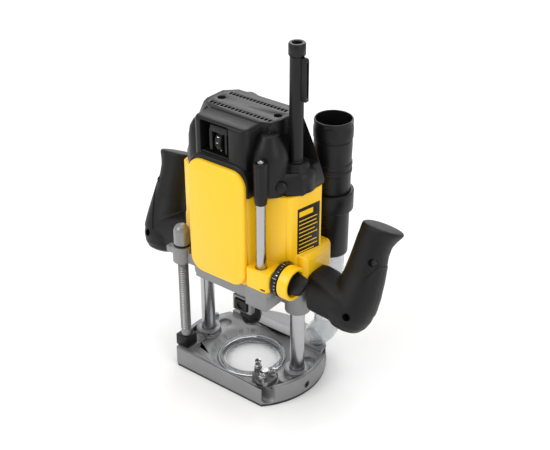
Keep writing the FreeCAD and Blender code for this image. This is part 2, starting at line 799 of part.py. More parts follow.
def front_plate():
    """Yellow front cover with large corner radii."""
    plate = box("FrontCover", "2 * front_half", "front_t", "front_top - front_foot",
                ("-front_half", "front_y", "front_foot"))

    def corner(edge):
        a, b = edge.Vertexes[0].Point, edge.Vertexes[-1].Point
        return abs(a.x - b.x) < 0.01 and abs(a.z - b.z) < 0.01
    return soften("FrontCoverSoft", plate, size("front_corner_r"), corner)


def top_cap():
    """Black hood over the upper end of the motor."""
    half_low, half_mid, half_top = 78.0, 67.0, 52.0
    levels = [
        (size("housing_top"), half_low, -23.0, 38.0),
        (284.0, half_mid, -21.0, 36.0),
        (size("cap_top"), half_top, -19.0, 32.0),
    ]
    wires = []
    for number, (z, half, front, rear) in enumerate(levels):
        ring = doc.addObject("Part::Polygon", "CapRing_%d" % number)
        corner = 12.0
        ring.Nodes = [Vector(x, y, z) for x, y in (
            (half - corner, front), (half, front + corner), (half, rear - corner), (half - corner, rear),
            (corner - half, rear), (-half, rear - corner), (-half, front + corner), (corner - half, front))]
        ring.Close = True
        wires.append(ring)
    hood = doc.addObject("Part::Loft", "CapHood")
    hood.Sections = wires
    hood.Solid = True
    hood.Ruled = True
    nose = soften("CapNoseSoft", box("CapNose", "2 * cap_front_half", 40, "cap_top - housing_top",
                                     ("-cap_front_half", "cap_front_y", "housing_top")),
                  6.0, lambda e: is_vertical(e) and e.Vertexes[0].Point.y < -30)
    dome = cylinder("CapDome", 16, 60, (44, -20, "housing_top"))
    rear_dome = cylinder("CapRearDome", 13, 66, (-24, 32, "housing_top"))
    guard_notch = box("GuardNotch", 60, 46, 100, (43, -24, "guard_foot"))
    window = box("DialWindow", 34, 25, 34, (-18, "cap_front_y - 1", 282))
    fields = fuse("CapRooms", [
        cylinder("CapRoom", 30, 36, (0, 0, "housing_top - 1")),
        cylinder("CapBearingSeat", "top_bearing_r", 12, (0, 0, "top_bearing_foot - 3")),
        box("CapBrushRoom", 78, 15, 24, (-39, -7.5, "housing_top - 1")),
        box("CapVentRoom", 84, 42, 12, (-42, -18, 302)),
        box("CapVentDuct", 16, 30, 30, (-34, -12, 276)),
    ])
    slots = []
    for row, (y, half) in enumerate(((-13.6, 46), (15.0, 40))):
        count = 16
        for number in range(count):
            x = -half + 2 * half * number / (count - 1)
            slots.append(box("Vent_%d_%d" % (row, number), 3.2, 5, 9, (x - 1.6, y - 2.5, 313)))
    solid = cut("CapSolid", fuse("CapPieces", [hood, nose, rear_dome]), [guard_notch])
    with_dome = fuse("CapWithDome", [solid, dome])
    guard_hole = cylinder("GuardHole", "guard_r", 12, ("guard_x", "guard_y", "housing_top - 1"))
    wells = [cylinder("CapScrewWell_%d" % n, 4.2, 5, (x, y, "cap_top - 5"))
             for n, (x, y) in enumerate(((-37, 1), (37, 1)))]
    control_room = box("ControlRoom", 42, 13, 26, (-21, -46, 253))
    post_way = box("ControlPostWay", 13, 6, 6, (-12.5, -40.5, 277))
    cavities = [window, fields, guard_hole, control_room, post_way] + slots + wells
    return cut("Cap", with_dome, cavities)


def cap_screws():
    """Screws that hold the cap down, in their wells."""
    screws = []
    for number, (x, y) in enumerate(((-37, 1), (37, 1))):
        head = cylinder("CapScrewHead_%d" % number, 4.0, 2.4, (x, y, "cap_top - 5"))
        drive = cylinder("CapScrewDrive_%d" % number, 1.8, 1.6, (x, y, "cap_top - 4.1"))
        screws.append(cut("CapScrew_%d" % number, head, [drive]))
    return group("CapScrews", screws)


def cord_guard():
    """Tall stiff guard for the supply lead, open at its top."""
    stem = cylinder("GuardStem", "guard_r", "guard_top - guard_foot + 5", ("guard_x", "guard_y", "guard_foot - 5"))
    ring = cylinder("GuardRing", "guard_r + 1.4", 10, ("guard_x", "guard_y", "guard_top - 10"))
    collar = cylinder("GuardCollar", "guard_r + 3.4", 14, ("guard_x", "guard_y", "guard_foot + 0.2"))
    rib = box("GuardRib", 13, 5, 40, ("guard_x", "guard_y - 2.5", "guard_top - 54"))
    bore = cylinder("GuardBore", "guard_bore_r", 200, ("guard_x", "guard_y", "guard_foot - 6"))
    return cut("CordGuard", fuse("GuardSolid", [stem, ring, collar, rib]), [bore])


# ------------------------------------------------------------ dust extraction
def dust_outer_tube():
    """Black tube on the carriage; the clear tube telescopes in it."""
    at = ("dust_x", "dust_y", "dust_foot")
    wall = cone("DustWall", "dust_foot_r", "dust_top_r - 0.6", "dust_top - dust_foot", at)
    rings = [cylinder("DustRing_%d" % n, "dust_top_r", height, ("dust_x", "dust_y", z))
             for n, (z, height) in enumerate(((284, 12), (246, 10)))]
    bore = cylinder("DustBore", "dust_bore_r", 200, at)
    port = cylinder("DustPort", "dust_port_r", 60, ("dust_x", "dust_y", "dust_port_z"))
    return cut("DustTube", fuse("DustSolid", [wall] + rings), [bore, port])


def dust_bracket():
    """Arm from the housing to the dust tube."""
    arm = box("BracketArm", 18, 30, 22, (46, 30, 200))
    band = cylinder("BracketBand", "dust_top_r + 2.5", 22, ("dust_x", "dust_y", 200))
    room = doc.addObject("Part::Feature", "HousingCopy")
    doc.recompute()
    room.Shape = NODES["motor_housing"].Shape.copy()
    tube_solid = cone("BracketTube", "dust_foot_r", "dust_top_r - 0.6", "dust_top - dust_foot",
                      ("dust_x", "dust_y", "dust_foot"))
    return cut("Bracket", fuse("BracketSolid", [arm, band]), [room, tube_solid])


# ----------------------------------------------------------------- depth stop
def depth_rod():
    """Chromed stop rod with rack teeth cut in its rear side."""
    rod = cylinder("RodBody", "rod_r", "rod_top - rod_foot", ("rod_x", "rod_y", "rod_foot"))
    module = 1.0
    pitch = math.pi * module
    line_y = size("pinion_y") - size("pinion_pitch_r")
    flat = box("RodFlat", 12, 4, 70, ("rod_x - 6", line_y + module, "rod_foot - 1"))
    gaps = []
    middle = size("pinion_z")
    for number in range(-5, 13):
        z = middle + number * pitch
        root, tip = 0.7, 1.35
        points = [(line_y - 1.25, -root), (line_y + 1.3, -tip), (line_y + 1.3, tip), (line_y - 1.25, root)]
        gap = doc.addObject("Part::Polygon", "RackOutline_%d" % (number + 5))
        gap.Nodes = [Vector(size("rod_x") - 7, y, z + dz) for y, dz in points]
        gap.Close = True
        solid = doc.addObject("Part::Extrusion", "RackGap_%d" % (number + 5))
        solid.Base = gap
        solid.DirMode = "Custom"
        solid.Dir = Vector(1, 0, 0)
        solid.LengthFwd = 14
        solid.Solid = True
        gaps.append(solid)
    tip_bore = cylinder("TipBore", 2.6, 24, ("rod_x", "rod_y", "rod_foot"))
    return cut("DepthRod", rod, [flat, tip_bore] + gaps)


def depth_tip():
    """Fine-adjusted tip in the end of the stop rod."""
    at = ("rod_x", "rod_y", "rod_foot - 1.5")
    return stack("DepthTip", [(4.2, 1.0), (2.3, 18.0)], at)


def depth_pinion():
    """Pinion and its shaft, with 13 teeth of module 1."""
    teeth = 13
    pitch_r = size("pinion_pitch_r")
    outline = []
    for number in range(teeth):
        middle = 2 * math.pi * number / teeth
        for radius, half in ((pitch_r - 1.2, 1.05), (pitch_r, 0.62), (pitch_r + 0.85, 0.3)):
            outline.append((radius, middle - half / radius))
        for radius, half in ((pitch_r + 0.85, 0.3), (pitch_r, 0.62), (pitch_r - 1.2, 1.05)):
            outline.append((radius, middle + half / radius))
    # A tooth points at the rack at rest, so the outline starts on the -Y side.
    points = [(r * math.cos(a - math.pi / 2), r * math.sin(a - math.pi / 2)) for r, a in outline]
    gear = doc.addObject("Part::Polygon", "PinionOutline")
    x = size("rod_x") - 5.5
    gear.Nodes = [Vector(x, size("pinion_y") + py, size("pinion_z") + px) for px, py in points]
    gear.Close = True
    solid = doc.addObject("Part::Extrusion", "PinionGear")
    solid.Base = gear
    solid.DirMode = "Custom"
    solid.Dir = Vector(1, 0, 0)
    solid.LengthFwd = 11
    solid.Solid = True
    shaft = cylinder("PinionShaft", "pinion_shaft_r", 34.5, ("rod_x - 10", "pinion_y", "pinion_z"), "x")
    return fuse("Pinion", [solid, shaft])


def depth_scale_ring():
    """Black zero-set ring between the housing and the yellow drum."""
    at = ("rod_x + 16.9", "pinion_y", "pinion_z")
    return tube("ScaleRing", "ring_r", "pinion_shaft_r + 0.05", 7.3, at, "x")


def depth_knob():
    """Yellow drum that turns the pinion; its face is hollow."""
    at = ("rod_x + 24.5", "pinion_y", "pinion_z")
    drum = cylinder("DrumBody", "drum_r", 12, at, "x")
    hollow = cylinder("DrumHollow", "drum_r - 4.2", 12, ("rod_x + 27.5", "pinion_y", "pinion_z"), "x")
    bore = cylinder("DrumBore", "pinion_shaft_r - 1", 12, at, "x")
    return cut("Drum", drum, [hollow, bore])


def depth_lock_wing():
    """Black wing in the drum that locks the stop rod."""
    at = ("rod_x + 27.8", "pinion_y", "pinion_z")
    disc = cylinder("WingDisc", "drum_r - 4.6", 4, at, "x")
    stem = cylinder("WingStem", "pinion_shaft_r - 1.05", 5, ("rod_x + 24.8", "pinion_y", "pinion_z"), "x")
    blade = box("WingBlade", 8.5, 5, 24, ("rod_x + 27.8", "pinion_y - 2.5", "pinion_z - 12"))
    return fuse("LockWing", [disc, stem, blade])


def fine_adjust_knob():
    """Knurled sleeve on top of the stop rod."""
    at = ("rod_x", "rod_y", "fine_foot")
    sleeve = cone("FineTaper", "fine_r - 1", "fine_r", 8, at)
    body = cylinder("FineBody", "fine_r", "fine_top - fine_foot - 8", ("rod_x", "rod_y", "fine_foot + 8"))
    bore = cylinder("FineBore", "rod_r + 0.05", "rod_top - fine_foot + 0.3", at)
    screw = cylinder("FineScrew", 3.0, 3, ("rod_x", "rod_y", "fine_top"))
    return cut("FineKnob", fuse("FineSolid", [sleeve, body, screw]), [bore])


# -------------------------------------------------------------------- handles
def grip_axis():
    """Foot, top and direction of the right grip."""
    foot = Vector(size("grip_foot_x"), size("grip_foot_y"), size("grip_foot_z"))
    top = Vector(size("grip_top_x"), size("grip_top_y"), size("grip_top_z"))
    return foot, top, (top - foot).normalize()


def grip_point(share, rise=0.0):
    """Point on the grip's axis, share of the way up, lifted along the axis."""
    foot, top, axis = grip_axis()
    return foot + (top - foot) * share + axis * rise


def grip_loft(name, margin):
    """Grip from the bulb to the flared rim; margin shrinks it for the hollow."""
    axis = grip_axis()[2]
    turn = Rotation(Vector(0, 0, 1), axis)
    foot_r, waist_r, rim_r = size("grip_foot_r"), size("grip_waist_r"), size("grip_rim_r")
    profile = [(0.0, foot_r), (0.3, (foot_r + waist_r) / 2), (0.65, waist_r), (0.88, waist_r), (1.0, rim_r)]
    shrink = -margin if margin else 0.0
    return loft(name, [(grip_point(share, shrink if share == 1.0 else 0.0), turn, radius - margin,
                        radius - margin) for share, radius in profile])


def handle_solid(name, margin):
    """Arm, bulb and grip as one solid, shrunk by margin."""
    start = size("arm_start_x") - (1 if margin else 0)
    turn = Rotation(Vector(0, 1, 0), 90)
    arm_end = Vector(size("grip_foot_x"), size("grip_foot_y"), size("grip_foot_z"))
    half_w, half_h = size("arm_half_w") - margin, size("arm_half_h") - margin
    arm = loft(name + "_arm", [
        (Vector(start, size("arm_y"), size("arm_z")), turn, half_h, half_w),
        (Vector(110, size("arm_y"), size("arm_z") - 2), turn, half_h - 1, half_w),
        (Vector(arm_end.x, arm_end.y, arm_end.z + 2), turn, size("grip_foot_r") - margin - 1,
         size("grip_foot_r") - margin - 1),
    ])
    bulb = sphere(name + "_bulb", size("grip_foot_r") + 1.2 - margin, (arm_end.x, arm_end.y, arm_end.z))
    return fuse(name, [arm, bulb, grip_loft(name + "_grip", margin)])


def split_turn():
    """Rotation whose Y axis is square to the grip's axis and to X."""
    lean = math.degrees(math.atan2(size("grip_top_y") - size("grip_foot_y"),
                                   size("grip_top_z") - size("grip_foot_z")))
    return Rotation(Vector(1, 0, 0), -lean)


def slanted_box(name, length, width, height, middle):
    """Box square to the grip, centred on a point."""
    turn = split_turn()
    corner = middle - turn.multVec(Vector(length / 2.0, width / 2.0, height / 2.0))
    return box(name, length, width, height, (corner.x, corner.y, corner.z), turn)


def trigger_middle():
    """Middle of the trigger, on the rear side of the grip."""
    outwards = split_turn().multVec(Vector(0, 1, 0))
    return grip_point(0.62) + outwards * (size("grip_waist_r") + 0.5)


def lock_on_middle():
    """Middle of the lock-on button, below the trigger."""
    outwards = split_turn().multVec(Vector(0, 1, 0))
    return grip_point(0.14) + outwards * (size("grip_waist_r") + 3.5)


def handle_screw_places():
    """Middles of the two screws of the right handle, near its outer edge."""
    return [grip_point(0.62) + Vector(12.5, 0, 0), grip_point(-0.05) + Vector(9, 0, 0)]


def across_grip(name, radius, start, length, middle):
    """Cylinder square to the grip, from start to start + length along the front-to-rear line."""
    turn = split_turn().multiply(ALONG["y"])
    foot = middle + split_turn().multVec(Vector(0, start, 0))
    return cylinder(name, radius, length, (foot.x, foot.y, foot.z), turn=turn)


def handle_halves():
    """Front and rear shells of the right handle, with screw posts and wells."""
    outer = handle_solid("HandleOuter", 0.0)
    shell = cut("HandleShell", outer, [handle_solid("HandleInner", size("handle_wall"))])
    places = handle_screw_places()
    posts = [across_grip("ScrewPost_%d" % n, 5.2, -30, 60, at) for n, at in enumerate(places)]
    clipped = common("ScrewPosts", [group("PostGroup", posts), outer])
    wells = [across_grip("HandleWell_%d" % n, 4.2, -40, 29, at) for n, at in enumerate(places)]
    holes = [across_grip("HandleHole_%d" % n, "handle_screw_r", -12, 22, at) for n, at in enumerate(places)]
    whole = cut("HandleWhole", fuse("HandleWithPosts", [shell, clipped]), wells + holes)
    middle = grip_point(0.3)
    outwards = split_turn().multVec(Vector(0, 1, 0))
    rear_window = slanted_box("RearHalfWindow", 240, 90, 300, middle + outwards * 45.15)
    front_window = slanted_box("FrontHalfWindow", 240, 90, 300, middle - outwards * 45.15)
    return common("HandleFront", [whole, front_window]), common("HandleRear", [whole, rear_window])


def handle_screws():
    """Two screws through each handle, their heads in wells on the front side."""
    right = []
    for number, at in enumerate(handle_screw_places()):
        shank = across_grip("HandleShank_%d" % number, "handle_screw_r", -11.5, 21.5, at)
        head = across_grip("HandleHead_%d" % number, 3.8, -13.4, 2.4, at)
        right.append(fuse("HandleScrew_%d" % number, [shank, head]))
    left = [mirrored("HandleScrewLeft_%d" % n, screw) for n, screw in enumerate(right)]
    return group("HandleScrews", right + left)


def trigger_switch():
    """Switch behind the trigger, inside the right grip."""
    return slanted_box("SwitchBlock", 16, 14, 30, grip_point(0.6) - Vector(3, 0, 0))


def trigger():
    """Long trigger that slides straight into the grip."""
    return slanted_box("TriggerBar", 13, 9, 32, trigger_middle())


def lock_on_button():
    """Round button that holds the trigger in."""
    return across_grip("LockOn", "lock_on_r", -6.0, 9.0, lock_on_middle())


def handles():
    """Shells of both handles; only the right one has the trigger and its button."""
    front, rear = handle_halves()
    trigger_slot = slanted_box("TriggerSlot", 13.8, 14, 32.8, trigger_middle())
    button_hole = across_grip("LockOnHole", "lock_on_r + 0.05", -9.0, 20.0, lock_on_middle())
    node("handle_right_front", front)
    node("handle_right_rear", cut("HandleRightRear", rear, [trigger_slot, button_hole]))
    node("handle_left_front", mirrored("HandleLeftFront", front))
    node("handle_left_rear", mirrored("HandleLeftRear", rear))


# -------------------------------------------------------------- plunge lock
def plunge_lock_lever():
    """Lever behind the left column that clamps the carriage."""
    hub = cylinder("LeverHub", 9, 9, ("-column_x", 27, "carriage_foot + lock_rise"), "y")
    arm = box("LeverArm", 32, 6, 9, ("-column_x", 30, "carriage_foot + lock_rise - 4.5"))
    tip = cylinder("LeverTip", 6, 7, ("-column_x + 32", 29.5, "carriage_foot + lock_rise"), "y")
    return fuse("PlungeLever", [hub, arm, tip])


def plunge_lock_screw():
    """Clamp screw under the lever; its tip ends just short of the left column."""
    at = ("-column_x", 8.35, "carriage_foot + lock_rise")
    return cylinder("LeverScrew", "lock_screw_r", 18.65, at, "y")


# -------------------------------------------------------- spindle and motor
def armature_shaft():
    """Spindle and armature shaft in one, with a tapered bore at its lower end."""
    shaft = fuse("ShaftSolid", [
        cylinder("ShaftNose", "spindle_nose_r", "bearing_foot - nut_foot - 8.3", (0, 0, "nut_foot + 8")),
        cylinder("ShaftSeat", 8.5, 24.5, (0, 0, "bearing_foot - 0.5")),
        cylinder("ShaftMain", "shaft_r", "top_bearing_foot + 8 - bearing_foot - 24", (0, 0, "bearing_foot + 24")),
    ])
    bore = cylinder("ShaftBore", "nose_bore_r", 36, (0, 0, "nut_foot"))
    flats = [box("ShaftFlat_%d" % n, 20, 4, 9, (-10, y, "nut_top + 6")) for n, y in enumerate((7.6, -11.6))]
    return cut("ArmatureShaft", shaft, [bore] + flats)


def armature_core():
    """Wound laminations on the shaft."""
    core = cylinder("CoreBody", "core_r", "core_top - core_foot", (0, 0, "core_foot"))
    coils = [cylinder("CoreCoilLow", 21, 7, (0, 0, "core_foot - 7")),
             cylinder("CoreCoilHigh", 21, 7, (0, 0, "core_top"))]
    bore = cylinder("CoreBore", "shaft_r", 200, (0, 0, "core_foot - 20"))
    return cut("ArmatureCore", fuse("CoreSolid", [core] + coils), [bore])


def cooling_fan():
    """Fan with a disc and twelve straight blades."""
    hub = cylinder("FanHub", 12, 12, (0, 0, "fan_foot"))
    disc = cylinder("FanDisc", "fan_r", 2, (0, 0, "fan_foot + 10"))
    blades = []
    for number in range(12):
        turn = Rotation(Vector(0, 0, 1), number * 30)
        blade = box("FanBlade_%d" % number, 24, 1.8, 10.5, (0, 0, "fan_foot"), turn)
        at = turn.multVec(Vector(11, -0.9, 0))
        bind(blade, "Placement.Base.x", at.x)
        bind(blade, "Placement.Base.y", at.y)
        blades.append(blade)
    bore = cylinder("FanBore", "shaft_r", 40, (0, 0, "fan_foot - 5"))
    return cut("Fan", fuse("FanSolid", [hub, disc] + blades), [bore])


def motor_stator():
    """Laminated field that fits the housing's bore."""
    return tube("StatorCore", "stator_r", "stator_bore_r", 50, (0, 0, 184))


def field_coils():
    """Coil heads below and above the laminated field."""
    rings = []
    for number, z in enumerate((174.5, 234.3)):
        rings.append(tube("FieldRing_%d" % number, 38, 28, 9, (0, 0, z)))
    return group("FieldCoils", rings)


def bearing(name, radius, bore, height, at):
    """Sealed ball bearing as an outer ring, an inner ring and the seal between."""
    body = tube(name, radius, bore, height, at)
    groove = tube(name + "_groove", "%s - 1.6" % radius, "%s + 1.6" % bore, 0.8, at)
    return cut(name + "_cut", body, [groove])


def brush_gear():
    """Two brush holders with their carbon brushes on the commutator."""
    holders = []
    brushes = []
    for sign in (1, -1):
        turn = Rotation(Vector(0, 0, 1), 0 if sign > 0 else 180)
        holder = box("Holder_%d" % sign, 20, 11, 14, (sign * 17, -5.5 * sign, 253), turn)
        way = box("HolderWay_%d" % sign, 22, 7, 10, (sign * 16, -3.5 * sign, 255), turn)
        holders.append(cut("BrushHolder_%d" % sign, holder, [way]))
        brushes.append(box("Brush_%d" % sign, 17, 7, 10, (sign * 15.4, -3.5 * sign, 255), turn))
    return group("BrushHolders", holders), group("Brushes", brushes)


def collet_nut():
    """Nut that closes the collet on the cutter's shank."""
    hexagon = doc.addObject("Part::Prism", "NutHexagon")
    hexagon.Polygon = 6
    bind(hexagon, "Circumradius", "nut_r + 1.6")
    bind(hexagon, "Height", 12)
    place(hexagon, (0, 0, "nut_foot + 7"), Rotation())
    taper = cone("NutTaper", "nut_r - 2", "nut_r", 7, (0, 0, "nut_foot"))
    bore = cylinder("NutBore", "spindle_nose_r", 30, (0, 0, "nut_foot + 7.5"))
    mouth = cylinder("NutMouth", "collet_r", 30, (0, 0, "nut_foot - 1"))
    return cut("ColletNut", fuse("NutSolid", [hexagon, taper]), [bore, mouth])


def collet():
    """Slotted collet for a 12.7 mm shank."""
    at = (0, 0, "nut_foot - 3")
    body = tube("ColletBody", "collet_r", "collet_bore_r", 34, at)
    slots = [box("ColletSlot_%d" % n, 9, 1, 18, (4 if n else -13, -0.5, "nut_foot - 4")) for n in range(2)]
    return cut("Collet", body, slots)


def speed_dial():
    """Thumb wheel in the cap's front window."""
    wheel = cylinder("DialWheel", 12, 8, (-5, -37, 297), "x")
    axle = cylinder("DialAxle", 2.0, 17, (-8.3, -37, 297), "x")
    return fuse("SpeedDial", [wheel, axle])


def speed_module():
    """Speed control with the cradle that the thumb wheel turns in."""
    ears = [box("DialEar_%d" % n, 2.5, 9, 19, (x, -41, 283)) for n, x in enumerate((-8.5, 6.5))]
    base = box("DialBase", 26, 8, 1.5, (-14, -41, 282))
    post = box("DialPost", 12, 5, 9, (-12, -40, 275))
    circuit = box("ControlBox", 36, 9, 22, (-18, -44, 254))
    bore = cylinder("DialBore", 2.05, 40, (-20, -37, 297), "x")
    return cut("SpeedModule", fuse("ModuleSolid", ears + [base, post, circuit]), [bore])


def height_release_tab():
    """Tab on the carriage's lug that frees the height screw."""
    return box("ReleaseTab", 10.5, 8, 7, ("screw_x - 20", "screw_y - 4", "lug_foot + 6.5"))


# ------------------------------------------------------------------- assembly
def build():
    """Make every sub-part."""
    node("sole_plate", sole_plate())
    node("sole_screws", group("SoleScrews", sole_screw_shapes("SoleScrew")))
    node("turret_pivot", turret_pivot())
    node("base_casting", base_casting())
    node("clear_shroud", clear_shroud())
    columns()
    node("return_springs", return_springs())
    node("clamp_grubs", clamp_grubs())
    node("dust_hood", dust_hood())
    node("dust_inner_tube", dust_inner_tube())
    node("screw_foot_block", screw_foot_block())
    node("height_screw", height_screw())
    node("height_knob", height_knob())
    node("turret_hub", turret_hub())
    node("turret_screws", turret_screws())
    node("turret_nuts", turret_nuts())
    node("carriage_casting", carriage_casting())
    node("column_bushes", column_bushes())
    node("spindle_lock_housing", spindle_lock_housing())
    node("spindle_lock_button", spindle_lock_button())
    node("motor_housing", motor_housing())
    node("front_plate", front_plate())
    node("top_cap", top_cap())
    node("cap_screws", cap_screws())
    node("cord_guard", cord_guard())
    node("dust_outer_tube", dust_outer_tube())
    node("dust_bracket", dust_bracket())
    node("depth_rod", depth_rod())
    node("depth_tip", depth_tip())
    node("depth_pinion", depth_pinion())
    node("depth_scale_ring", depth_scale_ring())
    node("depth_knob", depth_knob())
    node("depth_lock_wing", depth_lock_wing())
    node("fine_adjust_knob", fine_adjust_knob())
    handles()
    node("handle_screws", handle_screws())
    node("trigger_switch", trigger_switch())
    node("trigger", trigger())
    node("lock_on_button", lock_on_button())
    node("plunge_lock_lever", plunge_lock_lever())
    node("plunge_lock_screw", plunge_lock_screw())
    node("armature_shaft", armature_shaft())
    node("armature_core", armature_core())
    node("cooling_fan", cooling_fan())
    node("motor_stator", motor_stator())
    node("field_coils", field_coils())
    node("lower_bearing", bearing("LowerBearing", "bearing_r", 8.55, "bearing_h", (0, 0, "bearing_foot")))
    node("upper_bearing", bearing("UpperBearing", "top_bearing_r", "shaft_r + 0.05", "top_bearing_h - 1",
                                  (0, 0, "top_bearing_foot")))
    node("commutator", tube("Commutator", "commutator_r", "shaft_r", "commutator_h", (0, 0, "commutator_foot")))
    holders, brushes = brush_gear()
    node("brush_holders", holders)
    node("carbon_brushes", brushes)
    node("collet_nut", collet_nut())
    node("collet", collet())
    node("speed_dial", speed_dial())
    node("speed_module", speed_module())
    node("height_release_tab", height_release_tab())


def check_and_export():
    """Stop on any failed object, then write each sub-part's shape."""
    doc.recompute()
    failed = [obj.Name for obj in doc.Objects if "Invalid" in obj.State or "Error" in obj.State]
    if failed:
        raise RuntimeError("failed objects: %s" % failed)
    os.makedirs("parts", exist_ok=True)
    bad = [name for name, obj in NODES.items()
           if obj.Shape.isNull() or not obj.Shape.isValid() or not obj.Shape.Solids]
    if bad:
        raise RuntimeError("bad shapes: %s" % bad)
    for name, obj in NODES.items():
        obj.Shape.exportStep("parts/%s.step" % name)
        print("%-24s solids %2d  volume %10.1f" % (name, len(obj.Shape.Solids), obj.Shape.Volume))


build()
check_and_export()
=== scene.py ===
"""Looks of a two-column plunge router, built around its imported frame.

Each sub-assembly is a class that holds its sizes in millimetres and builds and
dresses its own pieces. The frame's axes are +Z up, +X along the two handles and
-Y towards the flat edge of the base.
"""

import json
import logging
import math
from dataclasses import dataclass
from enum import Enum
from typing import Callable, Iterable, Sequence

import bpy
from mathutils import Matrix, Vector


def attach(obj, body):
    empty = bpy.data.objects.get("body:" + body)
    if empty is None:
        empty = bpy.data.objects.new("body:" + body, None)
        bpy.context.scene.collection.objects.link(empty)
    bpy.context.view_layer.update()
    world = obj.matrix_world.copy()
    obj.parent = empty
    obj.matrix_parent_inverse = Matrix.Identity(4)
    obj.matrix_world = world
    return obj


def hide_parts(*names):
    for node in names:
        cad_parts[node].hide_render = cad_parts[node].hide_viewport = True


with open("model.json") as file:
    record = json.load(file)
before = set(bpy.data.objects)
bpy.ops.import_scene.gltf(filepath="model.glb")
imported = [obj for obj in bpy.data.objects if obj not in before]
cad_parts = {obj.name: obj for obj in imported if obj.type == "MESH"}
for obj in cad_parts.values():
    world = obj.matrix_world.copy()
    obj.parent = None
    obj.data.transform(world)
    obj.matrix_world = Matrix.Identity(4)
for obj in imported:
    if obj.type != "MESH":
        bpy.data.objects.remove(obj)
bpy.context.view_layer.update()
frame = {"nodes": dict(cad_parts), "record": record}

log = logging.getLogger("router")
MM = 0.001
Point = tuple[float, float, float]


# ------------------------------------------------------------------ finishes
class Grain(Enum):
    """How the fine relief of a finish is laid."""

    EVEN = "even"
    DRAWN_UP = "drawn_up"
    TURNED = "turned"


@dataclass(frozen=True)
class Finish:
    """One surface finish as a node material on Object coordinates."""

    name: str
    colour: tuple[float, float, float]
    shade: float = 0.9
    mottle: float = 60.0
    roughness: float = 0.45
    roughness_spread: float = 0.08
    metallic: float = 0.0
    grain: float = 1600.0
    relief: float = 0.10
    lie: Grain = Grain.EVEN
    coat: float = 0.0
    transmission: float = 0.0
    ior: float = 1.5
    specular: float = 0.5

    def build(self) -> bpy.types.Material:
        """Make the material.

        Returns:
            The finished node material.
        """
        material = bpy.data.materials.new(self.name)
        material.use_nodes = True
        nodes, links = material.node_tree.nodes, material.node_tree.links
        shader = nodes["Principled BSDF"]
        shader.inputs["Metallic"].default_value = self.metallic
        shader.inputs["IOR"].default_value = self.ior
        shader.inputs["Coat Weight"].default_value = self.coat
        shader.inputs["Coat Roughness"].default_value = 0.12
        shader.inputs["Transmission Weight"].default_value = self.transmission
        shader.inputs["Specular IOR Level"].default_value = self.specular
        place = nodes.new("ShaderNodeTexCoord")
        stretch = nodes.new("ShaderNodeMapping")
        stretch.inputs["Scale"].default_value = self.stretch()
        links.new(place.outputs["Object"], stretch.inputs["Vector"])

        clouds = nodes.new("ShaderNodeTexNoise")
        clouds.inputs["Scale"].default_value = self.mottle
        clouds.inputs["Detail"].default_value = 4.0
        links.new(place.outputs["Object"], clouds.inputs["Vector"])
        tint = nodes.new("ShaderNodeMix")
        tint.data_type = "RGBA"
        tint.inputs["A"].default_value = (*[c * self.shade for c in self.colour], 1.0)
        tint.inputs["B"].default_value = (*self.colour, 1.0)
        links.new(clouds.outputs["Fac"], tint.inputs["Factor"])
        links.new(tint.outputs["Result"], shader.inputs["Base Color"])

        fine = nodes.new("ShaderNodeTexNoise")
        fine.inputs["Scale"].default_value = self.grain
        fine.inputs["Detail"].default_value = 3.0
        links.new(stretch.outputs["Vector"], fine.inputs["Vector"])
        polish = nodes.new("ShaderNodeMapRange")
        polish.inputs["To Min"].default_value = self.roughness - self.roughness_spread
        polish.inputs["To Max"].default_value = self.roughness + self.roughness_spread
        links.new(fine.outputs["Fac"], polish.inputs["Value"])
        links.new(polish.outputs["Result"], shader.inputs["Roughness"])
        bump = nodes.new("ShaderNodeBump")
        bump.inputs["Strength"].default_value = self.relief
        bump.inputs["Distance"].default_value = 0.0004
        links.new(fine.outputs["Fac"], bump.inputs["Height"])
        links.new(bump.outputs["Normal"], shader.inputs["Normal"])
        return material

    def stretch(self) -> Point:
        """Scale of the fine grain along X, Y and Z."""
        return {Grain.EVEN: (1, 1, 1), Grain.DRAWN_UP: (1, 1, 0.03), Grain.TURNED: (0.06, 0.06, 1)}[self.lie]


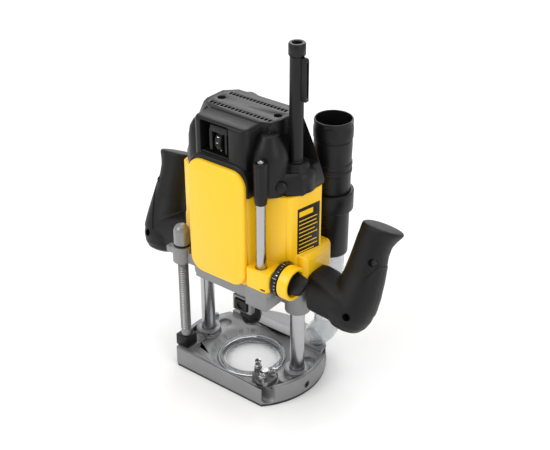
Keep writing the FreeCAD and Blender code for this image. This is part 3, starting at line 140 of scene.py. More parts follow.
FINISHES = {
    "yellow": Finish("sunny_yellow", (1.0, 0.585, 0.005), shade=0.94, mottle=25, roughness=0.34,
                     grain=2200, relief=0.05, coat=0.15),
    "black_plastic": Finish("black_moulded", (0.0065, 0.0065, 0.007), shade=0.7, mottle=90, roughness=0.38,
                            specular=0.28, grain=2600, relief=0.22),
    "black_grip": Finish("black_grip", (0.007, 0.007, 0.007), shade=0.7, mottle=70, roughness=0.46,
                         specular=0.25, grain=3200, relief=0.3),
    "black_rubber": Finish("black_rubber", (0.007, 0.007, 0.007), shade=0.8, roughness=0.4, specular=0.3,
                           grain=1500, relief=0.08),
    "cast_grey": Finish("cast_grey", (0.27, 0.27, 0.275), shade=0.82, mottle=45, roughness=0.42,
                        metallic=0.55, grain=1700, relief=0.22),
    "chrome": Finish("hard_chrome", (0.46, 0.46, 0.47), shade=0.9, roughness=0.24, roughness_spread=0.04,
                     metallic=1.0, grain=900, relief=0.01, lie=Grain.DRAWN_UP),
    "steel": Finish("bright_steel", (0.42, 0.42, 0.42), shade=0.85, roughness=0.22, metallic=1.0,
                    grain=1500, relief=0.04, lie=Grain.TURNED),
    "bright_screw": Finish("zinc_thread", (0.30, 0.30, 0.30), shade=0.75, roughness=0.33, metallic=0.9,
                           grain=1500, relief=0.05),
    "dark_steel": Finish("blackened_steel", (0.035, 0.035, 0.036), shade=0.7, roughness=0.35, metallic=0.8,
                         grain=1800, relief=0.06),
    "grey_knob": Finish("satin_grey", (0.27, 0.27, 0.27), shade=0.9, roughness=0.36, metallic=0.6, grain=1500,
                        relief=0.06),
    "clear": Finish("clear_moulding", (0.80, 0.82, 0.83), shade=0.99, roughness=0.09, roughness_spread=0.02,
                    transmission=0.86, ior=1.36, grain=500, relief=0.01),
    "phenolic": Finish("phenolic_sheet", (0.016, 0.016, 0.016), shade=0.8, roughness=0.5,
                       grain=1200, relief=0.05),
    "bronze": Finish("bush_bronze", (0.55, 0.36, 0.14), shade=0.8, roughness=0.3, metallic=1.0,
                     lie=Grain.TURNED),
    "copper": Finish("varnished_copper", (0.55, 0.24, 0.09), shade=0.7, roughness=0.35, metallic=0.9, coat=0.4),
    "copper_core": Finish("wound_core", (0.22, 0.13, 0.08), shade=0.6, roughness=0.45, metallic=0.6),
    "lamination": Finish("laminations", (0.20, 0.20, 0.21), shade=0.7, roughness=0.4, metallic=0.8,
                         grain=3000, relief=0.3, lie=Grain.TURNED),
    "bearing": Finish("ground_steel", (0.5, 0.5, 0.51), shade=0.9, roughness=0.2, metallic=1.0),
    "carbon": Finish("carbon_block", (0.03, 0.03, 0.03), roughness=0.6, relief=0.3),
}


class Paintbox:
    """Builds each finish once and dresses pieces with it."""

    def __init__(self) -> None:
        """Start with no material made."""
        self.made: dict[str, bpy.types.Material] = {}

    def material(self, slot: str) -> bpy.types.Material:
        """Return the material of a slot."""
        if slot not in self.made:
            self.made[slot] = FINISHES[slot].build()
        return self.made[slot]

    def dress(self, piece: bpy.types.Object, slot: str) -> None:
        """Give the whole piece one finish."""
        piece.data.materials.clear()
        piece.data.materials.append(self.material(slot))

    def dress_frame(self) -> None:
        """Give every carried-over node the finish of its slot."""
        for row in frame["record"]["subparts"]:
            node = frame["nodes"].get(row["node"])
            if node is not None and node.type == "MESH":
                self.dress(node, row["material_slot"])


PAINT = Paintbox()


# -------------------------------------------------------------------- studio
@dataclass
class Studio:
    """Floor, soft lights and the camera."""

    camera_at: Point = (0.6653, -0.8089, 0.7873)
    right: Point = (0.7883, 0.6153, 0.0)
    upward: Point = (-0.3084, 0.3951, 0.8653)
    back: Point = (0.5324, -0.6821, 0.5012)
    lens: float = 73.43

    def build(self) -> None:
        """Set up the whole studio."""
        self.floor()
        self.camera()
        self.sky()
        self.panel("key_light", (-0.7, -1.5, 1.5), 1.2, 15.0)
        self.panel("right_light", (1.7, -0.2, 0.9), 1.0, 6.0)
        self.panel("top_light", (0.0, 0.2, 1.9), 1.4, 8.0)
        self.panel("back_light", (-0.9, 1.5, 1.1), 1.0, 8.0)
        log.info("studio ready")

    def floor(self) -> None:
        """Plain pale floor."""
        deselect()
        bpy.ops.mesh.primitive_plane_add(size=12.0)
        floor = bpy.context.object
        floor.name = "floor"
        material = bpy.data.materials.new("pale_floor")
        material.use_nodes = True
        shader = material.node_tree.nodes["Principled BSDF"]
        shader.inputs["Base Color"].default_value = (0.98, 0.98, 0.98, 1.0)
        shader.inputs["Roughness"].default_value = 0.8
        floor.data.materials.append(material)

    def camera(self) -> None:
        """Camera at a raised three-quarter view."""
        data = bpy.data.cameras.new("view")
        data.lens = self.lens
        data.sensor_width = 36.0
        camera = bpy.data.objects.new("view", data)
        bpy.context.collection.objects.link(camera)
        axes = Matrix((self.right, self.upward, self.back)).transposed()
        camera.matrix_world = Matrix.Translation(self.camera_at) @ axes.to_4x4()
        bpy.context.scene.camera = camera

    def sky(self) -> None:
        """Even white surroundings."""
        world = bpy.data.worlds.new("studio")
        world.use_nodes = True
        background = world.node_tree.nodes["Background"]
        background.inputs["Color"].default_value = (1.0, 1.0, 1.0, 1.0)
        background.inputs["Strength"].default_value = 0.72
        bpy.context.scene.world = world

    def panel(self, name: str, at: Point, side: float, power: float) -> None:
        """Square soft light aimed at the middle of the machine."""
        data = bpy.data.lights.new(name, "AREA")
        data.size = side
        data.energy = power
        light = bpy.data.objects.new(name, data)
        bpy.context.collection.objects.link(light)
        light.location = at
        light.rotation_euler = (Vector((0, 0, 0.18)) - Vector(at)).to_track_quat("-Z", "Y").to_euler()


# ------------------------------------------------------------- modelling bench
def deselect() -> None:
    """Leave object mode and deselect everything."""
    if bpy.context.object and bpy.context.object.mode != "OBJECT":
        bpy.ops.object.mode_set(mode="OBJECT")
    bpy.ops.object.select_all(action="DESELECT")


def pick(piece: bpy.types.Object) -> None:
    """Make one piece the only selected and the active one."""
    deselect()
    piece.select_set(True)
    bpy.context.view_layer.objects.active = piece


def christen(name: str) -> bpy.types.Object:
    """Name the object that an operator has just added."""
    piece = bpy.context.object
    piece.name = name
    piece.data.name = name
    return piece


def edit(piece: bpy.types.Object, work: Callable[[], object]) -> None:
    """Run operators on a piece in edit mode with all of it selected."""
    pick(piece)
    bpy.ops.object.mode_set(mode="EDIT")
    bpy.ops.mesh.select_all(action="SELECT")
    work()
    bpy.ops.object.mode_set(mode="OBJECT")


def right_way_out(piece: bpy.types.Object) -> None:
    """Turn all faces outwards."""
    edit(piece, lambda: bpy.ops.mesh.normals_make_consistent(inside=False))


def skin(name: str, rings: Sequence[Sequence[Vector]], hollow: bool = False) -> bpy.types.Object:
    """Extrude a ring of points through a row of rings.

    Args:
        name: Name of the piece.
        rings: Rings with the same number of points, in millimetres.
        hollow: Join the last ring to the first instead of closing the ends.

    Returns:
        The closed piece.
    """
    sides = len(rings[0])
    deselect()
    bpy.ops.mesh.primitive_circle_add(vertices=sides, radius=1.0)
    piece = christen(name)

    def grow() -> None:
        for _ in rings[1:]:
            bpy.ops.mesh.extrude_edges_move()
    edit(piece, grow)
    for vertex, point in zip(piece.data.vertices, (p for ring in rings for p in ring)):
        vertex.co = Vector(point) * MM

    def close() -> None:
        if hollow:
            bpy.ops.mesh.select_all(action="DESELECT")
            bpy.ops.mesh.select_non_manifold()
            bpy.ops.mesh.bridge_edge_loops()
        else:
            bpy.ops.mesh.fill_holes(sides=0)
        bpy.ops.mesh.select_all(action="SELECT")
        bpy.ops.mesh.normals_make_consistent(inside=False)
    edit(piece, close)
    return piece


def circle(radius: float, height: float, sides: int, lobes: int = 0, depth: float = 0.0) -> list[Vector]:
    """Ring of points about the Z axis, with shallow flutes if lobes are asked for."""
    ring = []
    for number in range(sides):
        angle = 2 * math.pi * number / sides
        reach = radius - depth * (0.5 + 0.5 * math.cos(lobes * angle)) if lobes else radius
        ring.append(Vector((reach * math.cos(angle), reach * math.sin(angle), height)))
    return ring


def turned(name: str, profile: Sequence[tuple[float, float]], at: Point = (0, 0, 0), axis: Point = (0, 0, 1),
           sides: int = 64, hollow: bool = False) -> bpy.types.Object:
    """Piece turned on a lathe.

    Args:
        name: Name of the piece.
        profile: (radius, distance along the axis) points, in millimetres.
        at: Where distance 0 lies.
        axis: Direction of the axis.
        sides: Facets round the piece.
        hollow: The profile goes round a wall and meets itself.

    Returns:
        The piece in its place.
    """
    piece = skin(name, [circle(radius, height, sides) for radius, height in profile], hollow)
    return put(piece, at, axis)


def put(piece: bpy.types.Object, at: Point, axis: Point = (0, 0, 1)) -> bpy.types.Object:
    """Turn a piece made along +Z to an axis and move it to its place."""
    turn = Vector((0, 0, 1)).rotation_difference(Vector(axis)).to_matrix().to_4x4()
    piece.data.transform(Matrix.Translation(Vector(at) * MM) @ turn)
    return piece


def rod(name: str, radius: float, length: float, at: Point, axis: Point = (0, 0, 1), edge: float = 0.6,
        sides: int = 48) -> bpy.types.Object:
    """Round bar with broken edges."""
    profile = [(radius - edge, 0), (radius - 0.3 * edge, 0.3 * edge), (radius, edge),
               (radius, length - edge), (radius - 0.3 * edge, length - 0.3 * edge), (radius - edge, length)]
    return turned(name, profile, at, axis, sides)


def block(name: str, low: Point, high: Point, edge: float = 1.0, segments: int = 3) -> bpy.types.Object:
    """Block between two corners with rounded edges."""
    middle = [(a + b) / 2 * MM for a, b in zip(low, high)]
    deselect()
    bpy.ops.mesh.primitive_cube_add(size=1.0, location=middle, scale=[(b - a) * MM for a, b in zip(low, high)])
    piece = christen(name)
    bpy.ops.object.transform_apply(location=True, rotation=True, scale=True)
    if edge:
        edit(piece, lambda: bpy.ops.mesh.bevel(offset=edge * MM, segments=segments, affect="EDGES"))
    return piece


def bevel_where(piece: bpy.types.Object, test: Callable[[Vector, Vector], bool], width: float,
                segments: int = 5) -> None:
    """Round the edges whose two ends pass a test, given in millimetres."""
    pick(piece)
    bpy.ops.object.mode_set(mode="EDIT")
    bpy.ops.mesh.select_mode(type="EDGE")
    bpy.ops.mesh.select_all(action="DESELECT")
    bpy.ops.object.mode_set(mode="OBJECT")
    mesh = piece.data
    for line in mesh.edges:
        a, b = (mesh.vertices[i].co / MM for i in line.vertices)
        line.select = test(a, b)
    bpy.ops.object.mode_set(mode="EDIT")
    bpy.ops.mesh.bevel(offset=width * MM, segments=segments, affect="EDGES")
    bpy.ops.mesh.select_mode(type="VERT")
    bpy.ops.object.mode_set(mode="OBJECT")


def upright(a: Vector, b: Vector) -> bool:
    """True for an edge along Z."""
    return abs(a.x - b.x) < 0.01 and abs(a.y - b.y) < 0.01


def slab(name: str, points: Sequence[tuple[float, float]], foot: float, top: float, corner: float = 0.0,
         edge: float = 0.0) -> bpy.types.Object:
    """Upright slab from an outline in plan, with rounded corners and rims."""
    rings = [[Vector((x, y, z)) for x, y in points] for z in (foot, top)]
    piece = skin(name, rings)
    if corner:
        bevel_where(piece, upright, corner)
    if edge:
        bevel_where(piece, lambda a, b: abs(a.z - b.z) < 0.01, edge, 3)
    return piece


def modify(piece: bpy.types.Object, kind: str, **settings: object) -> None:
    """Add a modifier with its settings and apply it."""
    pick(piece)
    modifier = piece.modifiers.new(kind.lower(), kind)
    for key, value in settings.items():
        setattr(modifier, key, value)
    bpy.ops.object.modifier_apply(modifier=modifier.name)


def combine(piece: bpy.types.Object, others: Iterable[bpy.types.Object], operation: str) -> bpy.types.Object:
    """Unite others with a piece, or carve them out of it."""
    for other in others:
        modify(piece, "BOOLEAN", operation=operation, object=other, solver="EXACT")
        bpy.data.objects.remove(other, do_unlink=True)
    return piece


def unite(piece: bpy.types.Object, *others: bpy.types.Object) -> bpy.types.Object:
    """Make one solid of several."""
    return combine(piece, others, "UNION")


def carve(piece: bpy.types.Object, *others: bpy.types.Object) -> bpy.types.Object:
    """Take solids out of a piece."""
    return combine(piece, others, "DIFFERENCE")


def gather(piece: bpy.types.Object, *others: bpy.types.Object) -> bpy.types.Object:
    """Join separate solids into one piece."""
    pick(piece)
    for other in others:
        other.select_set(True)
    bpy.ops.object.join()
    return piece


def break_edges(piece: bpy.types.Object, width: float = 0.5, segments: int = 2, angle: float = 32) -> None:
    """Break the sharp edges of a finished shape."""
    edit(piece, lambda: bpy.ops.mesh.remove_doubles(threshold=0.00003))
    modify(piece, "BEVEL", width=width * MM, segments=segments, limit_method="ANGLE",
           angle_limit=math.radians(angle), use_clamp_overlap=False, loop_slide=False)


def copy_of(piece: bpy.types.Object, name: str) -> bpy.types.Object:
    """Copy of a piece with its own mesh."""
    twin = piece.copy()
    twin.data = piece.data.copy()
    twin.name = name
    twin.data.name = name
    bpy.context.collection.objects.link(twin)
    return twin


def other_side(piece: bpy.types.Object, name: str) -> bpy.types.Object:
    """The same piece mirrored in X."""
    twin = copy_of(piece, name)
    twin.data.transform(Matrix.Scale(-1, 4, (1, 0, 0)))
    twin.data.flip_normals()
    return twin


def from_node(node: str, name: str, width: float, angle: float = 35) -> bpy.types.Object:
    """Copy of a carried-over node with its flats cleaned and its edges broken."""
    piece = copy_of(frame["nodes"][node], name)
    piece.parent = None
    piece.matrix_world = Matrix()
    edit(piece, lambda: (bpy.ops.mesh.remove_doubles(threshold=0.00002),
                         bpy.ops.mesh.dissolve_limited(angle_limit=math.radians(0.6))))
    break_edges(piece, width, 2, angle)
    return piece


def fit(piece: bpy.types.Object, body: str, slot: str, *stands_for: str, angle: float = 32) -> bpy.types.Object:
    """Finish a piece and fix it to the body it rides on.

    Args:
        piece: The piece.
        body: Body that it moves with.
        slot: Material slot whose finish it takes.
        stands_for: Nodes that it replaces.
        angle: Edges flatter than this many degrees are shaded smooth.

    Returns:
        The piece.
    """
    pick(piece)
    bpy.ops.object.shade_smooth_by_angle(angle=math.radians(angle))
    PAINT.dress(piece, slot)
    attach(piece, body)
    if stands_for:
        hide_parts(*stands_for)
    log.info("%s: %d faces on %s", piece.name, len(piece.data.polygons), body)
    return piece


# -------------------------------------------------------------------- handles
@dataclass
class Handles:
    """The two rubbery handles with their parting line, pads and screw wells."""

    foot: Point = (131.0, 5.0, 124.0)
    top: Point = (138.5, 43.0, 208.0)
    split: float = 0.3
    voxel: float = 1.1
    grip: tuple[tuple[float, float, float, float], ...] = (
        # distance up the axis, half width, half depth, how far it leans outwards
        (-23.5, 8.0, 8.0, 0.0), (-21.0, 15.5, 15.5, 0.0), (-15.0, 20.5, 20.5, 0.0), (-6.0, 23.8, 23.8, 0.0),
        (6.0, 24.6, 24.6, 0.3), (20.0, 23.6, 23.2, 0.8), (38.0, 21.6, 21.0, 0.8), (54.0, 19.8, 19.8, 0.0),
        (66.0, 18.6, 19.0, -0.8), (76.0, 18.8, 19.0, -0.8), (83.0, 20.0, 20.0, 0.4), (88.5, 21.6, 21.4, 1.6),
        (91.5, 22.3, 22.0, 2.2), (93.0, 21.8, 21.4, 2.2), (93.8, 19.8, 19.4, 2.2), (94.2, 12.0, 12.0, 1.5),
    )
    arm: tuple[tuple[float, float, float, float], ...] = (
        # x, height of the middle, half width, half height
        (85.8, 133.0, 19.0, 24.0), (92.0, 133.0, 19.6, 24.6), (102.0, 132.0, 19.8, 24.0),
        (114.0, 130.0, 20.0, 22.6), (126.0, 127.0, 21.0, 22.0), (138.0, 125.0, 19.0, 20.0),
    )

    def axes(self) -> tuple[Vector, Vector, Vector, Vector]:
        """Foot, up-axis, outward and rearward directions of the grip."""
        foot = Vector(self.foot)
        axis = (Vector(self.top) - foot).normalized()
        outward = (Vector((1, 0, 0)) - axis * axis.x).normalized()
        return foot, axis, outward, axis.cross(outward)

    def grip_rings(self) -> list[list[Vector]]:
        """Rings of the grip, from the bulb to the flared rim."""
        foot, axis, outward, rearward = self.axes()
        rings = []
        for rise, wide, deep, lean in self.grip:
            middle = foot + axis * rise + outward * lean + rearward * lean * 0.8
            rings.append([middle + outward * wide * c + rearward * deep * s for c, s in squarish(40, 2.25)])
        return rings

    def arm_rings(self) -> list[list[Vector]]:
        """Rings of the arm, from the shoulder into the bulb."""
        return [[Vector((x, self.foot[1] + wide * c, middle + tall * s)) for c, s in squarish(40, 3.4)]
                for x, middle, wide, tall in self.arm]

    def solid(self) -> bpy.types.Object:
        """Arm and grip blended into one moulding."""
        piece = gather(skin("handle", self.grip_rings()), skin("arm", self.arm_rings()))
        modify(piece, "REMESH", mode="VOXEL", voxel_size=self.voxel * MM)
        modify(piece, "SMOOTH", factor=0.5, iterations=9)
        return piece

    def normal(self) -> Vector:
        """Direction square to the parting line, towards the rear."""
        rise = Vector(self.top) - Vector(self.foot)
        lean = math.atan2(rise.y, rise.z)
        return Vector((0, math.cos(lean), -math.sin(lean)))

    def score(self, piece: bpy.types.Object) -> None:
        """Raise the grip pad on the outer side, with clean borders."""
        foot, axis, outward, rearward = self.axes()
        low = foot + axis * 2.0
        high = foot + axis * 63.0
        slanted = (outward - axis * 0.32).normalized()
        side = foot + outward * 3.0 + axis * 10.0
        borders = ((low, axis), (high, (axis + outward * 0.35).normalized()), (side, slanted))

        def cut_borders() -> None:
            for point, direction in borders:
                bpy.ops.mesh.select_all(action="SELECT")
                bpy.ops.mesh.bisect(plane_co=point * MM, plane_no=direction)
        edit(piece, cut_borders)
        pick(piece)
        bpy.ops.object.mode_set(mode="EDIT")
        bpy.ops.mesh.select_mode(type="FACE")
        bpy.ops.mesh.select_all(action="DESELECT")
        bpy.ops.object.mode_set(mode="OBJECT")
        for face in piece.data.polygons:
            middle = face.center / MM
            face.select = ((middle - low).dot(borders[0][1]) > 0 and (middle - high).dot(borders[1][1]) < 0
                           and (middle - side).dot(slanted) > 0)
        bpy.ops.object.mode_set(mode="EDIT")
        bpy.ops.mesh.extrude_region_shrink_fatten(TRANSFORM_OT_shrink_fatten={"value": 0.7 * MM})
        bpy.ops.mesh.select_mode(type="VERT")
        bpy.ops.object.mode_set(mode="OBJECT")

    def screw_places(self) -> list[Vector]:
        """Middles of the two screws, near the outer edge."""
        foot, top = Vector(self.foot), Vector(self.top)
        return [foot + (top - foot) * 0.62 + Vector((12.5, 0, 0)),
                foot + (top - foot) * -0.05 + Vector((9, 0, 0))]

    def half(self, whole: bpy.types.Object, name: str, front: bool) -> bpy.types.Object:
        """Front or rear half of the moulding, up to the parting line."""
        piece = copy_of(whole, name)
        normal = self.normal()
        middle = Vector(self.foot).lerp(Vector(self.top), self.split)
        plane = middle + normal * (-0.2 if front else 0.2)
        edit(piece, lambda: bpy.ops.mesh.bisect(plane_co=plane * MM, plane_no=normal, use_fill=True,
                                                clear_outer=front, clear_inner=not front))
        right_way_out(piece)
        return piece

    def build(self) -> None:
        """Both handles, with wells in front and the trigger's slot at the right rear."""
        whole = self.solid()
        self.score(whole)
        front = self.half(whole, "grip_front_right", True)
        rear = self.half(whole, "grip_rear_right", False)
        bpy.data.objects.remove(whole, do_unlink=True)
        normal = self.normal()
        wells = [turned("well", [(4.2, -42), (4.2, -11)], tuple(place), tuple(normal), 32)
                 for place in self.screw_places()]
        carve(front, *wells)
        left_front = other_side(front, "grip_front_left")
        left_rear = other_side(rear, "grip_rear_left")
        self.trigger_pocket(rear)
        for piece, node in ((front, "handle_right_front"), (rear, "handle_right_rear"),
                            (left_front, "handle_left_front"), (left_rear, "handle_left_rear")):
            fit(piece, "carriage", "black_grip", node, angle=50)
        self.trigger()
        self.lock_on()

    def trigger_pocket(self, rear: bpy.types.Object) -> None:
        """Slot for the trigger and hole for its lock-on button."""
        normal = self.normal()
        lean = math.atan2(-normal.z, normal.y)
        foot, top = Vector(self.foot), Vector(self.top)
        middle = foot.lerp(top, 0.62) + normal * 16.0
        slot = block("slot", (-7.2, -10.0, -16.8), (7.2, 20.0, 16.8), 1.0)
        slot.data.transform(Matrix.Translation(middle * MM) @ Matrix.Rotation(-lean, 4, "X"))
        hole = turned("hole", [(4.8, 8), (4.8, 40)], tuple(foot.lerp(top, 0.14)), tuple(normal), 40)
        carve(rear, slot, hole)

    def trigger(self) -> None:
        """Trigger with a hollowed finger face."""
        normal = self.normal()
        lean = math.atan2(-normal.z, normal.y)
        middle = Vector(self.foot).lerp(Vector(self.top), 0.62) + normal * 20.0
        rings = []
        for step in range(9):
            height = -16.0 + 4.0 * step
            hollow = 2.6 * math.cos(math.pi * height / 36.0) ** 2
            rings.append([Vector((6.5 * c, 0.4 + (4.9 - hollow if s > 0 else 4.7) * s, height))
                          for c, s in squarish(28, 3.2)])
        piece = skin("trigger_bar", rings)
        break_edges(piece, 0.8, 3, 40)
        piece.data.transform(Matrix.Translation(middle * MM) @ Matrix.Rotation(-lean, 4, "X"))
        fit(piece, "trigger_body", "black_plastic", "trigger")

    def lock_on(self) -> None:
        """Dished lock-on button."""
        foot, top = Vector(self.foot), Vector(self.top)
        start = foot.lerp(top, 0.14) + self.normal() * 17.0
        profile = [(4.0, 0), (4.5, 0.5), (4.5, 7.9), (4.1, 8.6), (3.4, 8.9), (2.6, 8.5), (1.2, 8.1)]
        piece = turned("lock_on_cap", profile, tuple(start), tuple(self.normal()), 40)
        fit(piece, "lock_on", "black_plastic", "lock_on_button")


def squarish(sides: int, power: float) -> list[tuple[float, float]]:
    """Points round a unit superellipse; a higher power gives squarer corners."""
    points = []
    for number in range(sides):
        angle = 2 * math.pi * (number + 0.5) / sides
        c, s = math.cos(angle), math.sin(angle)
        points.append((math.copysign(abs(c) ** (2 / power), c), math.copysign(abs(s) ** (2 / power), s)))
    return points


# -------------------------------------------------------------- motor housing
@dataclass
class MotorHousing:
    """Yellow body, the front cover and the rating panel."""

    cover_half: float = 37.3
    cover_y: float = -56.5
    cover_low: float = 141.0
    cover_high: float = 275.0
    cover_corner: float = 17.0
    bar_halves: tuple[float, ...] = (12.5, 12.0, 12.7, 11.0, 12.7, 9.0, 12.4, 12.7, 10.5)

    def body(self) -> None:
        """Trunk with both shoulders and the boss under the stop rod."""
        trunk = from_node("motor_housing", "yellow_body", 1.1, 40)
        fit(trunk, "carriage", "yellow", "motor_housing", angle=38)
        mark = block("boss_mark", (58.6, -56.35, 149.6), (64.4, -55.6, 151.4), 0.3, 2)
        fit(mark, "carriage", "black_plastic")
        band = block("boss_band", (37.2, -56.3, 142.4), (67.8, -30.0, 147.6), 0)
        bevel_where(band, upright, 3.0)
        carve(band, turned("rod_way", [(6.2, 130), (6.2, 160)], (51.5, -45.5, 0), sides=40),
              block("inside", (30.0, -55.7, 130), (67.2, -20, 160), 0))
        fit(band, "carriage", "cast_grey")

    def cover(self) -> None:
        """Front cover with a soft rim and a shallow framed panel."""
        cover = block("front_cover", (-self.cover_half, self.cover_y, self.cover_low),
                      (self.cover_half, self.cover_y + 5.2, self.cover_high), 0)
        bevel_where(cover, lambda a, b: abs(a.x - b.x) < 0.01 and abs(a.z - b.z) < 0.01, self.cover_corner, 14)
        front = self.cover_y

        def on_front(a: Vector, b: Vector) -> bool:
            return abs(a.y - front) < 0.01 and abs(b.y - front) < 0.01
        bevel_where(cover, on_front, 3.4, 5)
        self.frame_panel(cover, 4.0, 0.35)
        for number in range(9):
            x = -20.0 + 5.0 * number
            rib = block("rib", (x - 1.5, front - 0.25, 238), (x + 1.5, front + 1.0, 262), 0.2, 2)
            gather(cover, rib)
        bar = block("bar", (-27, front - 0.25, 232), (27, front + 1.0, 234.4), 0.2, 2)
        gather(cover, bar)
        fit(cover, "carriage", "yellow", "front_plate", angle=30)

    def frame_panel(self, cover: bpy.types.Object, margin: float, height: float) -> None:
        """Inset the large front face twice and raise what lies inside."""
        pick(cover)
        bpy.ops.object.mode_set(mode="EDIT")
        bpy.ops.mesh.select_mode(type="FACE")
        bpy.ops.mesh.select_all(action="DESELECT")
        bpy.ops.object.mode_set(mode="OBJECT")
        largest = max((f for f in cover.data.polygons if f.normal.y < -0.99), key=lambda f: f.area)
        largest.select = True
        bpy.ops.object.mode_set(mode="EDIT")
        bpy.ops.mesh.inset(thickness=margin * MM)
        bpy.ops.mesh.inset(thickness=0.8 * MM, depth=height * MM)
        bpy.ops.mesh.select_mode(type="VERT")
        bpy.ops.object.mode_set(mode="OBJECT")

    def label(self) -> None:
        """Dark rating panel on the right side, with plain bars and no lettering."""
        corner_a, corner_b = Vector((72.0, -22.0, 0)), Vector((80.0, 19.5, 0))
        along = (corner_b - corner_a).normalized()
        outward = Vector((along.y, -along.x, 0))
        frame_axes = Matrix((along, Vector((0, 0, 1)), outward)).transposed().to_4x4()
        centre = corner_a.lerp(corner_b, 0.56) + Vector((0, 0, 203)) + outward * 0.05
        panel = block("rating_panel", (-15.5, -28, -0.3), (15.5, 28, 0.35), 0.25, 2)
        bars = []
        for row, half in enumerate(self.bar_halves):
            foot = 12.5 - 4.6 * row
            bars.append(block("bar", (-13.0, foot, 0.1), (-13.0 + half * 2, foot + 1.1, 0.5), 0.1, 1))
        bars.append(block("bar", (-13.0, 18.0, 0.1), (6.0, 24.0, 0.5), 0.1, 1))
        marks = gather(bars[0], *bars[1:])
        marks.name = "rating_bars"
        for piece, slot in ((panel, "black_plastic"), (marks, "yellow")):
            piece.data.transform(Matrix.Translation(centre * MM) @ frame_axes)
            fit(piece, "carriage", slot)

    def build(self) -> None:
        """All yellow pieces."""
        self.body()
        self.cover()
        self.label()


# -------------------------------------------------------------- cast metalwork
@dataclass
class Castings:
    """Base, carriage casting and small blocks, with broken edges."""

    pieces: tuple[tuple[str, str, str, float], ...] = (
        ("base_casting", "base", "cast_grey", 0.9),
        ("carriage_casting", "carriage", "cast_grey", 0.8),
        ("spindle_lock_housing", "carriage", "cast_grey", 0.6),
        ("screw_foot_block", "base", "black_plastic", 0.8),
        ("dust_bracket", "carriage", "black_plastic", 0.8),
    )

    def build(self) -> None:
        """All castings."""
        for node, body, slot, width in self.pieces:
            fit(from_node(node, node + "_finished", width, 36), body, slot, node, angle=36)


